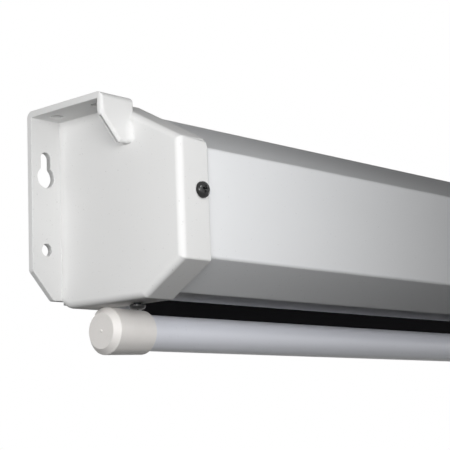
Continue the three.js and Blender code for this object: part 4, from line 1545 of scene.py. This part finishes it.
class SCREEN_OT_stage(Operator):
    """Sets the floor, the lamps, the surroundings and the camera."""

    bl_idname = "screen.stage"
    bl_label = "Stage"

    def execute(self, context):
        stage = settings("stage")
        scene = context.scene
        scene.view_settings.view_transform = "Standard"
        half = stage.floor_width / 2
        outline = [(-half, -half), (half, -half), (half, half), (-half, half)]
        shape = bmesh.new()
        shape.faces.new([shape.verts.new((x, y, -stage.floor_drop)) for x, y in outline])
        mesh = bpy.data.meshes.new("studio_floor")
        shape.to_mesh(mesh)
        shape.free()
        floor = bpy.data.objects.new("studio_floor", mesh)
        scene.collection.objects.link(floor)
        finish = Finish("floor", settings("finish").floor, 0.8)
        finish.tint(finish.noise(500 * MM, 2.0).band(0.4, 0.7) * 0.3, darker(finish.base[:3], 0.97))
        mesh.materials.append(finish.material)
        floor.visible_diffuse = False
        self.light(scene, stage)
        self.aim_camera(scene, stage)
        return {"FINISHED"}

    def light(self, scene, stage):
        """Soft lamps, an even ambient light, and white wherever the camera sees past the screen."""
        for name, spot, aim, size, watts, spread in LAMPS:
            data = bpy.data.lights.new(name, "AREA" if size else "SUN")
            data.energy = watts
            if size:
                data.shape = "SQUARE"
                data.size = size
                data.spread = math.radians(spread)
            lamp = bpy.data.objects.new(name, data)
            lamp.location = spot
            lamp.rotation_euler = (Vector(aim) - Vector(spot)).to_track_quat("-Z", "Y").to_euler()
            lamp.visible_camera = False
            scene.collection.objects.link(lamp)
            if name in LIT:
                lit = bpy.data.collections.new("lit_by_" + name)
                for piece in LIT[name]:
                    lit.objects.link(bpy.data.objects[piece])
                lamp.light_linking.receiver_collection = lit
                if name == "bar":
                    # The case keeps none of this lamp's light off the bar
                    lamp.light_linking.blocker_collection = lit
        world = bpy.data.worlds.new("surroundings")
        world.use_nodes = True
        scene.world = world
        tree = Tree(world.node_tree)
        path = tree.node("ShaderNodeLightPath", output="Is Camera Ray")
        node = path.socket.node
        seen = path
        for label in ("Is Glossy Ray", "Is Transmission Ray"):
            seen = seen.sum("MAXIMUM", seen, Link(tree, node.outputs[label]))
        strength = seen * (1 - stage.ambient) + stage.ambient
        background = world.node_tree.nodes["Background"]
        background.inputs["Color"].default_value = (1, 1, 1, 1)
        world.node_tree.links.new(strength.socket, background.inputs["Strength"])

    def aim_camera(self, scene, stage):
        """Looks at the left end from below, the left and the front."""
        data = bpy.data.cameras.new("camera")
        data.lens = stage.lens
        data.sensor_width = 36.0
        data.clip_start = 0.02
        camera = bpy.data.objects.new("camera", data)
        turn, rise, lean = (math.radians(v) for v in (stage.azimuth, stage.rise, stage.lean))
        ahead = Vector(
            (math.sin(turn) * math.cos(rise), math.cos(turn) * math.cos(rise), math.sin(rise))
        )
        level = Vector((math.cos(turn), -math.sin(turn), 0))
        overhead = level.cross(ahead)
        right = level * math.cos(lean) - overhead * math.sin(lean)
        over = level * math.sin(lean) + overhead * math.cos(lean)
        facing = Matrix((right, over, -ahead)).transposed().to_4x4()
        camera.matrix_world = Matrix.Translation(stage.camera_place) @ facing
        scene.collection.objects.link(camera)
        scene.camera = camera


class SCREEN_PT_panel(Panel):
    """Lists the steps that build the screen."""

    bl_idname = "SCREEN_PT_panel"
    bl_label = "Projection screen"
    bl_space_type = "VIEW_3D"
    bl_region_type = "UI"
    bl_category = "Screen"

    def draw(self, context):
        for step in STEPS:
            self.layout.operator(step.bl_idname)
        for name in GROUPS:
            box = self.layout.box()
            group = getattr(context.scene, name)
            for label in group.__annotations__:
                box.prop(group, label)


STEPS = (
    SCREEN_OT_case,
    SCREEN_OT_end_caps,
    SCREEN_OT_screws,
    SCREEN_OT_bar,
    SCREEN_OT_cloth,
    SCREEN_OT_handle,
    SCREEN_OT_roller,
    SCREEN_OT_stage,
)


def register():
    for group in GROUPS.values():
        bpy.utils.register_class(group)
    for name, group in GROUPS.items():
        setattr(bpy.types.Scene, name, PointerProperty(type=group))
    for step in (*STEPS, SCREEN_PT_panel):
        bpy.utils.register_class(step)


def unregister():
    for step in reversed((*STEPS, SCREEN_PT_panel)):
        bpy.utils.unregister_class(step)
    for name in GROUPS:
        delattr(bpy.types.Scene, name)
    for group in reversed(tuple(GROUPS.values())):
        bpy.utils.unregister_class(group)


def main():
    register()
    for step in STEPS:
        getattr(bpy.ops.screen, step.bl_idname.split(".")[1])()


if __name__ == "__main__":
    main()
